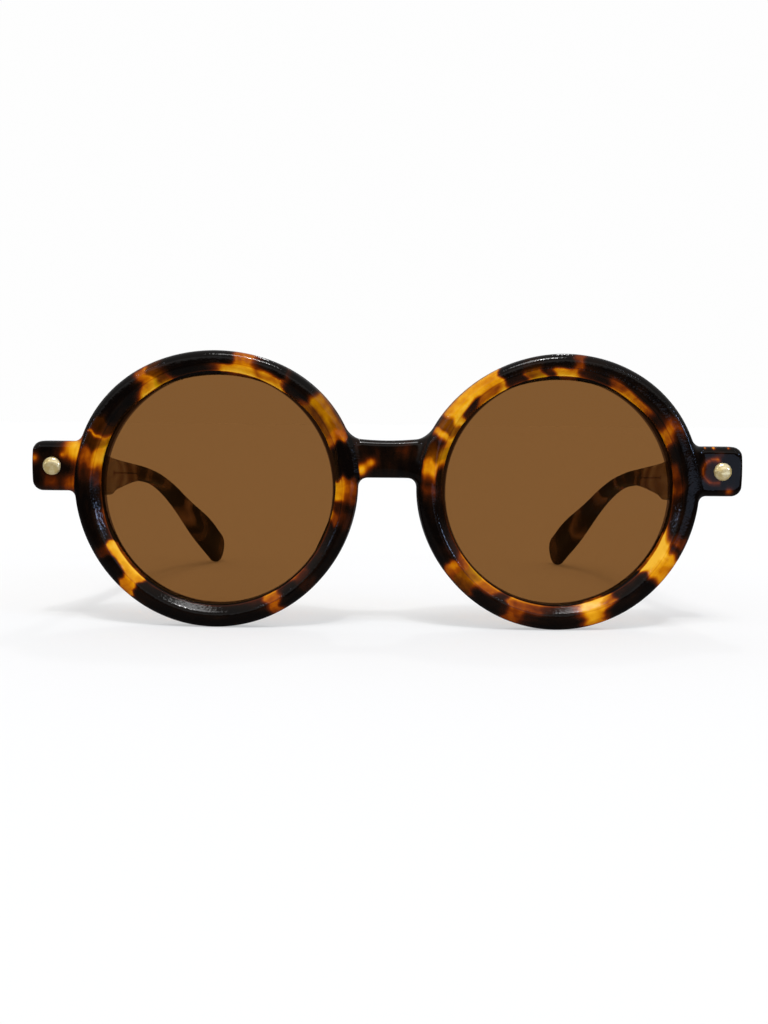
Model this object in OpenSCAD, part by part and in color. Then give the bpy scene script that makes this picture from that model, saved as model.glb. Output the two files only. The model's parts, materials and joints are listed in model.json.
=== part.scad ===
// Round acetate sunglasses, standing open on a table.
// X runs across the front, Y runs back along the temples and Z is up. Left and right are as
// seen from the front: left is at negative X. The origin is on the table, at the middle of
// the object's width and depth.

/* [Front] */
// Width over both end pieces
frame_w = 145; // [135:0.5:155]
// Distance between the two lens centres
lens_pitch = 70; // [68:0.5:72]
// Outer radius of each round rim
rim_r = 28.5; // [27.5:0.1:29]
// Radial width of the rim
rim_w = 5.3; // [4.6:0.1:6]
// Depth of the rim, front to back
rim_d = 5; // [4.6:0.1:6]
// Backward sweep of each half of the front, in degrees
wrap = 3; // [1:0.5:5]
// Radius of the rim's outer front edge
rim_edge_r = 1.5; // [1:0.1:1.8]
// Width of the bevel that leads down to the lens
bevel_w = 1.9; // [1:0.1:2.2]
// Depth of that bevel
bevel_d = 1.5; // [0.8:0.1:1.8]
// Radius of the rim's back edges
back_edge_r = 0.8; // [0.4:0.1:1]

/* [Bridge and end pieces] */
// Height of the bridge
bridge_h = 7.7; // [6:0.1:8]
// Height of the bridge's underside above the lens centres
bridge_rise = 2.2; // [1:0.1:3]
// Depth of the bridge, front to back
bridge_d = 3.8; // [3:0.1:4.2]
// Distance from the rim's front plane back to the bridge's face
bridge_set = 0.9; // [0.4:0.1:1.2]
// Height of the bevel under the bridge
bridge_bevel = 1.5; // [0.8:0.1:2]
// Height of each end piece
end_h = 10.1; // [9:0.1:11]
// Height of the end piece's middle, and of the hinge, above the lens centres
end_rise = 3.95; // [3:0.05:5]
// Thickness of the end piece, front to back
end_t = 5; // [4.5:0.1:5.5]
// Distance from the rim's front plane back to the end piece's face
end_set = 1.2; // [0.8:0.1:1.6]
// Corner radius of the end piece
end_corner_r = 2; // [1:0.1:3]
// Radius of the end piece's outer front edge
end_front_r = 1.2; // [0.6:0.1:1.5]
// Radius of the fillets beside the rims
fillet_r = 2; // [1:0.1:2.5]

/* [Lenses] */
// Thickness of the lens
lens_t = 1.8; // [1.4:0.1:2]
// Radius of the lens's front curve
lens_curve_r = 175; // [130:5:260]
// Distance from the rim's front plane to the middle of the lens edge
lens_set = 3.5; // [3.2:0.1:3.6]
// Depth of the groove that holds the lens
groove_d = 0.9; // [0.6:0.05:1]
// Play between the lens and its groove
lens_play = 0.1; // [0.06:0.01:0.14]

/* [Nose pads] */
// Height of the pad behind the rim
pad_h = 4.6; // [3.5:0.1:5.5]
// Radius of the pad's ends
pad_r = 2.1; // [1.8:0.1:2.3]
// Length of the pad along the rim
pad_l = 10; // [8:0.5:12]
// Angle of the pad's middle below the horizontal, around the rim
pad_angle = 24; // [20:1:30]
// Distance by which the pad's ends lie lower than its middle
pad_fall = 1.4; // [1:0.1:1.8]
// Extra radius at the pad's middle
pad_crown = 0.3; // [0.1:0.1:0.5]

/* [Hinges] */
// Radius of the hinge knuckles
knuckle_r = 1.6; // [1.5:0.05:1.8]
// Number of knuckles in one hinge
knuckle_count = 5; // [3:2:5]
// Height of the whole hinge
hinge_h = 5; // [4.4:0.1:6]
// Gap between neighbouring knuckles
knuckle_gap = 0.06; // [0.04:0.01:0.1]
// Radius of the hinge screw's shank
screw_r = 0.7; // [0.6:0.05:0.8]
// Radius of the hinge screw's head
screw_head_r = 1.25; // [1.1:0.05:1.4]
// Height of the hinge screw's head
screw_head_h = 0.7; // [0.5:0.05:0.9]
// Radial play of a screw or rivet in its hole
pin_play = 0.05; // [0.03:0.01:0.08]
// Thickness of the hinge leaves
leaf_t = 1; // [0.8:0.05:1.2]
// Distance that the leaf in the front reaches past the rivet
front_leaf_over = 2; // [1.6:0.1:2.2]
// Length of the leaf in the temple
temple_leaf_l = 16; // [14:0.5:18]
// Height of the leaf in the temple
temple_leaf_h = 4; // [3.6:0.1:4.4]
// Play between a leaf and its pocket
leaf_play = 0.05; // [0.03:0.01:0.08]
// Distance from the hinge axis out to the temple's inner face
axis_to_face = 1.95; // [1.9:0.05:2.1]
// Radius of the small screws in the temple leaf
leaf_screw_r = 0.6; // [0.5:0.05:0.7]
// Length of the small screws in the temple leaf
leaf_screw_l = 3.2; // [2.8:0.1:3.6]
// Distance from the hinge axis to the first small screw
leaf_screw_at = 5; // [4:0.1:5.5]
// Distance between the two small screws
leaf_screw_pitch = 7; // [5:0.1:7.4]

/* [Front rivets] */
// Radius of the rivet's domed head
rivet_head_r = 1.85; // [1.6:0.05:2]
// Height of the domed head
rivet_head_h = 1; // [0.8:0.05:1.2]
// Radius of the rivet's shank
rivet_r = 0.9; // [0.8:0.05:1]
// Distance from the end piece's outer end in to the rivet
rivet_in = 4.35; // [4:0.05:4.6]

/* [Temples] */
// Thickness of the temple where it meets the front
temple_front_t = 6; // [5.5:0.1:6.2]
// Thickness of the rest of the temple
temple_t = 3.8; // [3.6:0.1:4.2]
// Height of the temple where it meets the front
temple_front_h = 9; // [8.6:0.1:9.4]
// Height of the temple's narrow waist
temple_waist_h = 3.9; // [3.8:0.1:4.6]
// Height of the temple's tip
temple_tip_h = 6.4; // [5.6:0.1:7]
// Fall of the straight part of the temple, in degrees
fall_angle = 5.7; // [5:0.1:6]
// Fall of the tip, in degrees
tip_angle = 31; // [29:0.5:34]
// Length of the temple from the hinge to the bend
bend_start = 69; // [64:0.5:72]
// Radius of the bend
bend_r = 66; // [56:1:72]
// Start of the step under the temple, behind the hinge
step_start = 20; // [18:0.5:22]
// End of the step under the temple
step_end = 50; // [46:0.5:54]
// Inward lean of the straight part of the temple, in degrees
toe_in = 3.9; // [3:0.1:4.2]
// Inward lean of the tip, in degrees
tip_toe_in = 15; // [13:0.5:16]
// Gap between the end piece and the open temple
mitre_gap = 0.1; // [0.08:0.01:0.12]

/* [Core wires] */
// Height of the flat wire in the temple
wire_h = 1.3; // [1:0.1:1.4]
// Width of the flat wire
wire_w = 1; // [0.8:0.05:1.1]
// Distance from the hinge to the wire's front end
wire_start = 28; // [26:0.5:32]
// Play between the wire and its channel
wire_play = 0.05; // [0.03:0.01:0.06]

/* [Hidden] */
$fn = 96;

left = -1;
right = 1;

acetate = "saddlebrown";
gold = "gold";
steel = "silver";

rim_x = lens_pitch / 2;
rim_in = rim_r - rim_w;
lens_r = rim_in + groove_d - lens_play;
// The groove follows the lens's curve, which falls by this much over the groove's depth.
groove_fall = (lens_r * lens_r - rim_in * rim_in) / (2 * lens_curve_r);
groove_front = lens_set - lens_t / 2 - lens_play - groove_fall;
groove_back = lens_set + lens_t / 2 + lens_play;
end_back = end_set + end_t;
end_x = (frame_w / 2 + (end_set + end_front_r) * sin(wrap)) / cos(wrap);
hinge_z = rim_r + end_rise;
rivet_x = end_x - rivet_in;

// Length of the tools that cut right through
reach = 4 * rim_r;
// Depth by which the parts of one solid run into each other
lap = 0.5;
// Least opening of a cut past the surface that it starts from
past = 1;

// Formed tail of the rivet, in the back of the front leaf
tail_r = 1.3;
tail_h = 0.4;

// Countersunk head of the small screws
leaf_screw_head_r = 2 * leaf_screw_r;
leaf_screw_head_h = 0.4;

// The hinge axis lies behind the end piece, just inside the temple.
axis_behind = 0.3;
axis_in = 10.5;
axis_x = end_x - axis_in;
axis_y = end_back + axis_behind + knuckle_r;
axis_px = axis_x * cos(wrap) - axis_y * sin(wrap);
axis_py = axis_x * sin(wrap) + axis_y * cos(wrap);
knuckle_pitch = hinge_h / knuckle_count;
knuckle_h = knuckle_pitch - knuckle_gap;
// Half the width of the web that joins a knuckle to its leaf
web_w = 1.2;

// Steps in a rounded edge, millimetres between points along a temple, degrees round its tip
arc_steps = 8;
sweep_step = 3;
tip_step = 15;
bend_len = bend_r * (tip_angle - fall_angle) * PI / 180;
bend_end = bend_start + bend_len;

// The temple's top edge starts a little below the end piece's top.
temple_drop = 0.9;
top_z = hinge_z + end_h / 2 - temple_drop;
front_over = 2.5;
run_start = -front_over;

// Height of the top edge where the bend ends, and the distance to the tip's centre from there
bend_end_z = top_z - bend_start * sin(fall_angle) - bend_r * (cos(fall_angle) - cos(tip_angle));
tip_r = temple_tip_h / 2;
tip_run = (bend_end_z - tip_r * (1 + cos(tip_angle))) / sin(tip_angle);
tip_at = bend_end + tip_run;

// The plan's bend lies over the same stretch as the bend of the side view.
plan_mid = bend_start + 10;
plan_half = 14;
thick_end = 22;
tip_end = side_tip()[0] + tip_r;
first_y = (rim_x - rim_r + rim_edge_r) * sin(wrap);
last_y = axis_py + tip_end * cos(toe_in) + (face_x(tip_end) + temple_t) * sin(toe_in);

function smooth(a, b, v) = let(t = max(0, min(1, (v - a) / (b - a)))) t * t * (3 - 2 * t);

function arc(c, r, a0, a1, n = arc_steps) =
    [for (i = [0:n]) let(a = a0 + (a1 - a0) * i / n) c + r * [cos(a), sin(a)]];

// Slope of the temple at distance u behind the hinge
function slope(u) = fall_angle + (tip_angle - fall_angle)
    * max(0, min(1, (u - bend_start) / bend_len));

// Point of the temple's top edge at distance u, in the side view (y, z)
function top_edge(u) =
    u <= bend_start ? [u * cos(fall_angle), top_z - u * sin(fall_angle)]
    : u <= bend_end ? let(a = slope(u)) [
        bend_start * cos(fall_angle) + bend_r * (sin(a) - sin(fall_angle)),
        top_z - bend_start * sin(fall_angle) - bend_r * (cos(fall_angle) - cos(a))
    ]
    : top_edge(bend_end) + (u - bend_end) * [cos(tip_angle), -sin(tip_angle)];

function temple_h(u) = temple_front_h
    + (temple_waist_h - temple_front_h) * smooth(step_start, step_end, u)
    + (temple_tip_h - temple_waist_h) * smooth(bend_start, tip_at, u);

// Unit vector that points down across the temple
function down(u) = [-sin(slope(u)), -cos(slope(u))];

function below_top(u, d) = top_edge(u) + d * down(u);

function side_tip() = below_top(tip_at, tip_r);

// Inner face of the temple in plan, as the distance from the hinge axis
function face_x(y) = axis_to_face - tan(tip_toe_in - toe_in) * (
    y < plan_mid - plan_half ? 0
    : y > plan_mid + plan_half ? y - plan_mid
    : pow(y - plan_mid + plan_half, 2) / (4 * plan_half));

function temple_w(y) = temple_front_t + (temple_t - temple_front_t) * smooth(0, thick_end, y);

function wire_depth(u) = temple_waist_h / 2 + (temple_h(u) - temple_waist_h) / 4;

// Rim section as (radius, depth), with the groove for the lens
function rim_section() = concat(
    [[rim_in + bevel_w, 0]],
    arc([rim_r - rim_edge_r, rim_edge_r], rim_edge_r, -90, 0),
    arc([rim_r - back_edge_r, rim_d - back_edge_r], back_edge_r, 0, 90, 4),
    arc([rim_in + back_edge_r, rim_d - back_edge_r], back_edge_r, 90, 180, 4),
    [
        [rim_in, groove_back], [rim_in + groove_d, groove_back],
        [rim_in + groove_d, groove_front], [rim_in, groove_front],
        [rim_in, bevel_d]
    ]
);

// Fillet between the rim and a level edge at height h above the rim's centre.
// up is 1 above the edge and -1 below it; out is 1 away from the nose and -1 towards it.
// The points run from inside the rim to the level edge.
function fillet(h, up, out) =
    let(cz = h + up * fillet_r)
    let(cx = out * sqrt(pow(rim_r + fillet_r, 2) - cz * cz))
    let(c = [cx, cz])
    let(a_rim = atan2(-cz, -cx))
    let(a_edge = -90 * up)
    let(turn = a_edge - a_rim)
    let(a_end = a_rim + (turn > 180 ? turn - 360 : turn < -180 ? turn + 360 : turn))
    concat([c * (rim_r - lap) / (rim_r + fillet_r)], arc(c, fillet_r, a_rim, a_end));

function reversed(p) = [for (i = [len(p) - 1:-1:0]) p[i]];

// Outline of the end piece about the rim's centre (x, z)
function end_outline() =
    let(x1 = end_x - rim_x)
    let(z0 = end_rise - end_h / 2)
    let(z1 = end_rise + end_h / 2)
    concat(
        fillet(z0, -1, 1),
        arc([x1 - end_corner_r, z0 + end_corner_r], end_corner_r, -90, 0),
        arc([x1 - end_corner_r, z1 - end_corner_r], end_corner_r, 0, 90),
        reversed(fillet(z1, 1, 1))
    );

// Outline of half the bridge about the rim's centre (x, z)
function bridge_outline() =
    let(x1 = -rim_x - lap)
    let(z0 = bridge_rise)
    let(z1 = bridge_rise + bridge_h)
    concat(fillet(z0, -1, -1), [[x1, z0], [x1, z1]], reversed(fillet(z1, 1, -1)));

// Moves a shape from the front's own place to the object's frame
module placed() translate([0, -(first_y + last_y) / 2, 0]) children();

// One half of the front, swept back by the wrap angle
module half(s) mirror([s < 0 ? 1 : 0, 0, 0]) rotate([0, 0, wrap]) children();

// The frame of one temple: origin on the hinge axis, Y along its inner face
module along_temple(s)
    mirror([s < 0 ? 1 : 0, 0, 0]) translate([axis_px, axis_py, 0]) rotate([0, 0, toe_in]) children();

// Turns a shape so that its Z axis becomes the rim's axis, pointing back
module on_rim() translate([rim_x, 0, rim_r]) rotate([-90, 0, 0]) children();

// Extrudes an outline given about the rim's centre from one depth to another
module slab(outline, y0, y1)
    translate([rim_x, y1, rim_r]) rotate([90, 0, 0]) linear_extrude(y1 - y0) polygon(outline);

module rim() on_rim() rotate_extrude($fn = 180) polygon(rim_section());

// The end piece has a rounded front edge and a bevelled back corner, which meets the temple.
module end_piece() {
    corner = end_x - (axis_x + axis_to_face + temple_front_t) + mitre_gap;
    intersection() {
        slab(end_outline(), end_set, end_back);
        linear_extrude(reach)
            polygon(concat(
                [[rim_x, end_set]],
                arc([end_x - end_front_r, end_set + end_front_r], end_front_r, -90, 0, 4),
                [[end_x, end_back - corner], [end_x - corner, end_back], [rim_x, end_back]]
            ));
    }
}

module half_bridge() {
    back = bridge_set + bridge_d;
    bottom = rim_r + bridge_rise;
    flat = rim_x - rim_r;
    difference() {
        slab(bridge_outline(), bridge_set, back);
        // Bevel under the front of the bridge
        translate([-flat, 0, 0]) rotate([90, 0, 90]) linear_extrude(3 * flat)
            polygon([
                [0, bottom - bridge_bevel], [bridge_set, bottom + bridge_bevel],
                [bridge_set + bridge_bevel, bottom], [bridge_set + bridge_bevel, bottom - bridge_bevel]
            ]);
    }
}

// The front leaf's plate, grown by its play. It starts under the knuckles and ends past the rivet.
module front_leaf_plate(play, nose_side, behind) {
    start = axis_x - knuckle_r - nose_side;
    h = hinge_h + 2 * play;
    translate([start, end_back - leaf_t, hinge_z - h / 2])
        cube([rivet_x + front_leaf_over + play - start, leaf_t + behind, h]);
}

module rivet_bore()
    translate([rivet_x, 0, hinge_z]) rotate([-90, 0, 0]) cylinder(h = reach, r = rivet_r + pin_play);

// Clear space in front of the end piece for the rivet's head
module rivet_seat()
    translate([rivet_x, end_set, hinge_z]) rotate([90, 0, 0])
        cylinder(h = reach, r = rivet_head_r + pin_play);

module front_frame() color(acetate) placed() difference() {
    union() for (s = [left, right]) half(s) {
        rim();
        end_piece();
        half_bridge();
    }
    for (s = [left, right]) half(s) {
        front_leaf_plate(leaf_play, past, past);
        rivet_bore();
        rivet_seat();
    }
}

module lens(s) color("peru", 0.6) placed() half(s) on_rim() {
    edge = lens_set - lens_t / 2;
    centre = edge + sqrt(pow(lens_curve_r, 2) - lens_r * lens_r);
    intersection() {
        cylinder(h = 2 * rim_d, r = lens_r);
        translate([0, 0, centre]) difference() {
            sphere(r = lens_curve_r, $fn = 240);
            sphere(r = lens_curve_r - lens_t, $fn = 240);
        }
    }
}

// A drop-shaped pad, flat where it is glued to the back of the rim
module nose_pad(s) color(acetate) placed() half(s) on_rim() intersection() {
    pad_at = rim_in + rim_w / 2;
    half_turn = pad_l / 2 / pad_at * 180 / PI;
    translate([0, 0, rim_d]) cylinder(h = pad_h + past, r = rim_r + pad_h);
    hull() for (k = [-1, 0, 1]) {
        r = k == 0 ? pad_r + pad_crown : pad_r;
        fall = k == 0 ? 0 : pad_fall;
        rotate([0, 0, 180 - pad_angle - k * half_turn])
            translate([pad_at, 0, rim_d + pad_h - r - fall]) sphere(r = r, $fn = 32);
    }
}

// The rivet's dome sits on the face of the end piece; its tail is formed in the leaf.
module front_rivet(s) color(gold) placed() half(s)
    translate([rivet_x, end_set, hinge_z]) rotate([-90, 0, 0]) {
        dome_r = (rivet_head_r * rivet_head_r + rivet_head_h * rivet_head_h) / (2 * rivet_head_h);
        intersection() {
            translate([0, 0, dome_r - rivet_head_h]) sphere(r = dome_r);
            translate([0, 0, -dome_r]) cylinder(h = dome_r, r = dome_r);
        }
        cylinder(h = end_t, r = rivet_r);
        translate([0, 0, end_t - tail_h]) cylinder(h = tail_h, r = tail_r);
    }

// Knuckles first, first + 2, and so on, about the hinge axis
module knuckles(first) for (k = [first:2:knuckle_count - 1])
    translate([0, 0, hinge_z - hinge_h / 2 + (k + 0.5) * knuckle_pitch - knuckle_h / 2])
        linear_extrude(knuckle_h) children();

module hinge_bore()
    translate([0, 0, hinge_z - hinge_h]) cylinder(h = 2 * hinge_h, r = screw_r + pin_play);

module front_hinge_leaf(s) color(steel) placed() half(s) difference() {
    union() {
        front_leaf_plate(0, 0, 0);
        translate([axis_x, axis_y, 0]) knuckles(0) {
            web_l = axis_y - end_back + leaf_t / 2;
            circle(r = knuckle_r);
            translate([-web_w, -web_l]) square([2 * web_w, web_l]);
        }
    }
    translate([axis_x, axis_y, 0]) hinge_bore();
    rivet_bore();
    translate([rivet_x, end_back - tail_h, hinge_z]) rotate([-90, 0, 0])
        cylinder(h = tail_h + past, r = tail_r + pin_play);
}

// The screw's head rests on the top knuckle and its slot faces up.
module hinge_screw(s) color(gold) placed() half(s) translate([axis_x, axis_y, 0]) {
    top = hinge_z + hinge_h / 2 - knuckle_gap / 2;
    slot_w = 0.35;
    slot_d = 0.35;
    difference() {
        union() {
            translate([0, 0, hinge_z - hinge_h / 2]) cylinder(h = hinge_h / 2 + top - hinge_z, r = screw_r);
            translate([0, 0, top]) cylinder(h = screw_head_h, r = screw_head_r);
        }
        translate([-slot_w / 2, -2 * screw_head_r, top + screw_head_h - slot_d])
            cube([slot_w, 4 * screw_head_r, 2 * slot_d]);
    }
}

// Distances u along the temple at which its edges have points
function stations(u0, u1) = concat([for (u = [u0:sweep_step:u1 - 1]) u], [u1]);

function temple_side() = concat(
    [for (u = stations(run_start, tip_at)) top_edge(u)],
    arc(side_tip(), tip_r, 90 - tip_angle - tip_step, -90 - tip_angle + tip_step, 180 / tip_step - 2),
    reversed([for (u = stations(run_start, tip_at)) below_top(u, temple_h(u))])
);

function temple_plan(from, to, inner, outer) = concat(
    [for (y = stations(from, to)) [inner(y), y]],
    reversed([for (y = stations(from, to)) [outer(y), y]])
);

// A bar whose side view and plan are both given
module bar(side, plan) intersection() {
    translate([-reach / 2, 0, 0]) rotate([90, 0, 90]) linear_extrude(reach) polygon(side);
    translate([0, 0, -past]) linear_extrude(reach) polygon(plan);
}

module temple_blank() bar(temple_side(), temple_plan(run_start, tip_at + tip_r,
    function(y) face_x(y), function(y) face_x(y) + temple_w(y)));

// The wire ends one tip radius before the centre of the tip. Its plan is longer than its side view.
module wire_bar(play) {
    half_h = wire_h / 2 + play;
    half_w = wire_w / 2 + play;
    mid = function(y) face_x(y) + temple_w(y) / 2;
    steps = stations(wire_start - play, tip_at - tip_r + play);
    side = concat(
        [for (u = steps) below_top(u, wire_depth(u) - half_h)],
        reversed([for (u = steps) below_top(u, wire_depth(u) + half_h)])
    );
    bar(side, temple_plan(0, tip_at, function(y) mid(y) - half_w, function(y) mid(y) + half_w));
}

// Room for the leaf and the hole for its screws, in the temple's inner face
module temple_leaf_pocket() {
    h = temple_leaf_h + 2 * leaf_play;
    translate([axis_to_face - past, -front_over, hinge_z - h / 2])
        cube([past + leaf_t, front_over + temple_leaf_l + leaf_play, h]);
}

module leaf_screw_places() for (y = [leaf_screw_at, leaf_screw_at + leaf_screw_pitch])
    translate([axis_to_face, y, hinge_z]) rotate([0, 90, 0]) children();

module temple(s) color(acetate) placed() difference() {
    along_temple(s) difference() {
        temple_blank();
        temple_leaf_pocket();
        leaf_screw_places() cylinder(h = leaf_screw_l + pin_play, r = leaf_screw_r + pin_play);
        wire_bar(wire_play);
    }
    // The front end is cut parallel to the end piece's back.
    half(s) translate([rim_x, end_back + mitre_gap - reach, 0]) cube(reach);
}

module temple_hinge_leaf(s) color(steel) placed() along_temple(s) difference() {
    union() {
        translate([axis_to_face, -web_w, hinge_z - temple_leaf_h / 2])
            cube([leaf_t, web_w + temple_leaf_l, temple_leaf_h]);
        knuckles(1) {
            circle(r = knuckle_r);
            translate([0, -web_w]) square([axis_to_face + leaf_t / 2, 2 * web_w]);
        }
    }
    hinge_bore();
    leaf_screw_places() translate([0, 0, -past]) {
        cylinder(h = leaf_t + 2 * past, r = leaf_screw_r + pin_play);
        cylinder(h = past + leaf_screw_head_h, r = leaf_screw_head_r + pin_play);
    }
}

module temple_leaf_screws(s) color(steel) placed() along_temple(s) leaf_screw_places() {
    cylinder(h = leaf_screw_head_h, r = leaf_screw_head_r);
    cylinder(h = leaf_screw_l, r = leaf_screw_r);
}

module core_wire(s) color(steel) placed() along_temple(s) wire_bar(0);

front_frame();
lens(left);  // lens_left
lens(right);  // lens_right
nose_pad(left);  // nose_pad_left
nose_pad(right);  // nose_pad_right
front_rivet(left);  // front_rivet_left
front_rivet(right);  // front_rivet_right
front_hinge_leaf(left);  // front_hinge_leaf_left
front_hinge_leaf(right);  // front_hinge_leaf_right
hinge_screw(left);  // hinge_screw_left
hinge_screw(right);  // hinge_screw_right
temple(left);  // temple_left
temple(right);  // temple_right
temple_hinge_leaf(left);  // temple_hinge_leaf_left
temple_hinge_leaf(right);  // temple_hinge_leaf_right
temple_leaf_screws(left);  // temple_leaf_screws_left
temple_leaf_screws(right);  // temple_leaf_screws_right
core_wire(left);  // core_wire_left
core_wire(right);  // core_wire_right
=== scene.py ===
import ast
import json
import math

import bmesh
import bpy
import numpy as np
from mathutils import Matrix, Vector


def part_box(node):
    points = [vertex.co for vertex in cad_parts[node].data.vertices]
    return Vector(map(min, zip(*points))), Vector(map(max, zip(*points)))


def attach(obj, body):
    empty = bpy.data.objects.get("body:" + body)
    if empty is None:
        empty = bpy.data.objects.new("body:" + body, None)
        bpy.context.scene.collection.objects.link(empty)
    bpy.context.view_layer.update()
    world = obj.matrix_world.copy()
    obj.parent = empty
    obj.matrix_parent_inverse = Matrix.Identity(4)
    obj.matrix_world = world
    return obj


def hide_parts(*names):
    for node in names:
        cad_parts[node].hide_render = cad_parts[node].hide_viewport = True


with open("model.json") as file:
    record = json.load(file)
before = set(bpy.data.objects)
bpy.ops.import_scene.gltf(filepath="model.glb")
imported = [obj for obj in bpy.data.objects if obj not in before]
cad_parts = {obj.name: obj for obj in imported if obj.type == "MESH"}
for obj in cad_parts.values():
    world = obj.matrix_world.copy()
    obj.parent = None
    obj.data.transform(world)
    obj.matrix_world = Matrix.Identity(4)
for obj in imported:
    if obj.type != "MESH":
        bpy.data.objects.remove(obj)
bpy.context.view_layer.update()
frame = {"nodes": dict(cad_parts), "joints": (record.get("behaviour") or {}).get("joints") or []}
print("frame loaded:", len(frame["nodes"]), "nodes")

mm = 0.001
sides = {"left": -1, "right": 1}

# The hinge axes come from the joints, so every turned piece starts from the frame.
hingeAt = {j["child"].split("_")[0]: Vector(j["pos_m"]) / mm for j in frame["joints"]}
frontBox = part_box("front_frame")


def addNode(tree, kind, inputs=None, **settings):
    node = tree.nodes.new(kind)
    for name, value in settings.items():
        setattr(node, name, value)
    for key, value in (inputs or {}).items():
        if isinstance(value, bpy.types.NodeSocket):
            tree.links.new(value, node.inputs[key])
        else:
            node.inputs[key].default_value = value
    return node


# Signs and calls that a written formula may hold, with the math node's operation for each
formulaSigns = {
    ast.Add: "ADD", ast.Sub: "SUBTRACT", ast.Mult: "MULTIPLY", ast.Div: "DIVIDE", ast.Pow: "POWER",
}
formulaCalls = {
    "sqrt": "SQRT", "abs": "ABSOLUTE", "min": "MINIMUM", "max": "MAXIMUM", "sin": "SINE", "cos": "COSINE",
    "above": "GREATER_THAN",
}


def writeFormula(tree, text, known):
    # Turns a formula such as "sqrt(x * x + 4)" into math nodes and gives its last socket.
    def part(item):
        if isinstance(item, ast.Constant):
            return float(item.value)
        if isinstance(item, ast.Name):
            return known[item.id]
        if isinstance(item, ast.UnaryOp):
            operation, values = "MULTIPLY", [part(item.operand), -1.0]
        elif isinstance(item, ast.BinOp):
            operation, values = formulaSigns[type(item.op)], [part(item.left), part(item.right)]
        elif item.func.id == "rise":
            # Climbs smoothly from 0 to 1 as the first value goes from the second to the third
            return addNode(tree, "ShaderNodeMapRange", dict(enumerate(part(a) for a in item.args)),
                           interpolation_type="SMOOTHSTEP").outputs[0]
        else:
            operation, values = formulaCalls[item.func.id], [part(a) for a in item.args]
        return addNode(tree, "ShaderNodeMath", dict(enumerate(values)), operation=operation).outputs[0]
    return part(ast.parse(text).body[0].value)


def writeFormulas(tree, lines, known):
    for name, text in lines:
        known[name] = writeFormula(tree, text, known)
    return known


def newTree(name, sizes, firstInput=None, output=("Mesh", "NodeSocketGeometry")):
    # A geometry tree with one named input for each size
    tree = bpy.data.node_groups.new(name, "GeometryNodeTree")
    if firstInput:
        tree.interface.new_socket(firstInput, in_out="INPUT", socket_type="NodeSocketVector")
    for size in sizes:
        tree.interface.new_socket(size, in_out="INPUT", socket_type="NodeSocketFloat")
    tree.interface.new_socket(output[0], in_out="OUTPUT", socket_type=output[1])
    return tree, addNode(tree, "NodeGroupInput"), addNode(tree, "NodeGroupOutput")


def knownSizes(groupInput, sizes):
    return {size: groupInput.outputs[size] for size in sizes}


def knownPoint(tree, position):
    # The parts of a place in metres, as px, py and pz in millimetres
    split = addNode(tree, "ShaderNodeSeparateXYZ", {0: position})
    return {name: addNode(tree, "ShaderNodeMath", {0: output, 1: 1 / mm}, operation="MULTIPLY").outputs[0]
            for name, output in zip(("px", "py", "pz"), split.outputs)}


def bakeTree(name, tree, sizes, material):
    # Runs the tree on an empty object, with its inputs set by their identifiers, and keeps the mesh.
    carrier = bpy.data.objects.new(name + "_maker", bpy.data.meshes.new(name + "_maker"))
    bpy.context.scene.collection.objects.link(carrier)
    modifier = carrier.modifiers.new("shape", "NODES")
    modifier.node_group = tree
    for item in tree.interface.items_tree:
        if item.in_out == "INPUT" and item.name in sizes:
            modifier[item.identifier] = float(sizes[item.name])
    evaluated = carrier.evaluated_get(bpy.context.evaluated_depsgraph_get())
    mesh = bpy.data.meshes.new_from_object(evaluated)
    mesh.name = name
    bpy.data.objects.remove(carrier)
    piece = bpy.data.objects.new(name, mesh)
    bpy.context.scene.collection.objects.link(piece)
    mesh.materials.clear()
    mesh.materials.append(material)
    return piece


def faceOutwards(mesh):
    edit = bmesh.new()
    edit.from_mesh(mesh)
    bmesh.ops.recalc_face_normals(edit, faces=edit.faces)
    edit.to_mesh(mesh)
    edit.free()


def signedVolume(mesh):
    edit = bmesh.new()
    edit.from_mesh(mesh)
    volume = edit.calc_volume(signed=True)
    edit.free()
    return volume


def cutAway(piece, cutters):
    # Takes plain cutters out of a piece and leaves crisp edges there.
    for cutter in cutters:
        modifier = piece.modifiers.new("cut", "BOOLEAN")
        modifier.operation = "DIFFERENCE"
        modifier.object = cutter
        modifier.solver = "EXACT"
    evaluated = piece.evaluated_get(bpy.context.evaluated_depsgraph_get())
    mesh = bpy.data.meshes.new_from_object(evaluated)
    mesh.name = piece.name
    piece.modifiers.clear()
    piece.data = mesh
    for cutter in cutters:
        bpy.data.objects.remove(cutter)


def sideMatrix(side, x, y, turn):
    # From the own frame of a half of the front, or of a temple, to the shared frame, in millimetres
    return Matrix.Scale(side, 4, (1, 0, 0)) @ (Matrix.Translation((x, y, 0)) @ Matrix.Rotation(turn, 4, "Z"))


def boxCutter(low, high, place):
    # A hidden box between two corners in millimetres, which is then put in its place
    edit = bmesh.new()
    bmesh.ops.create_cube(edit, size=1)
    for vert in edit.verts:
        vert.co = Vector((low[i] if vert.co[i] < 0 else high[i]) for i in range(3))
    mesh = bpy.data.meshes.new("cutter")
    edit.to_mesh(mesh)
    edit.free()
    mesh.transform(place)
    mesh.transform(Matrix.Scale(mm, 4))
    faceOutwards(mesh)
    cutter = bpy.data.objects.new("cutter", mesh)
    bpy.context.scene.collection.objects.link(cutter)
    cutter.hide_render = True
    return cutter


def srgb(text, alpha=1.0):
    # An sRGB hex colour as linear numbers
    parts = [int(text[i:i + 2], 16) / 255 for i in (0, 2, 4)]
    return tuple(p / 12.92 if p <= 0.04045 else ((p + 0.055) / 1.055) ** 2.4 for p in parts) + (alpha,)


def clearedTree(owner):
    owner.use_nodes = True
    owner.node_tree.nodes.clear()
    return owner.node_tree


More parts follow.
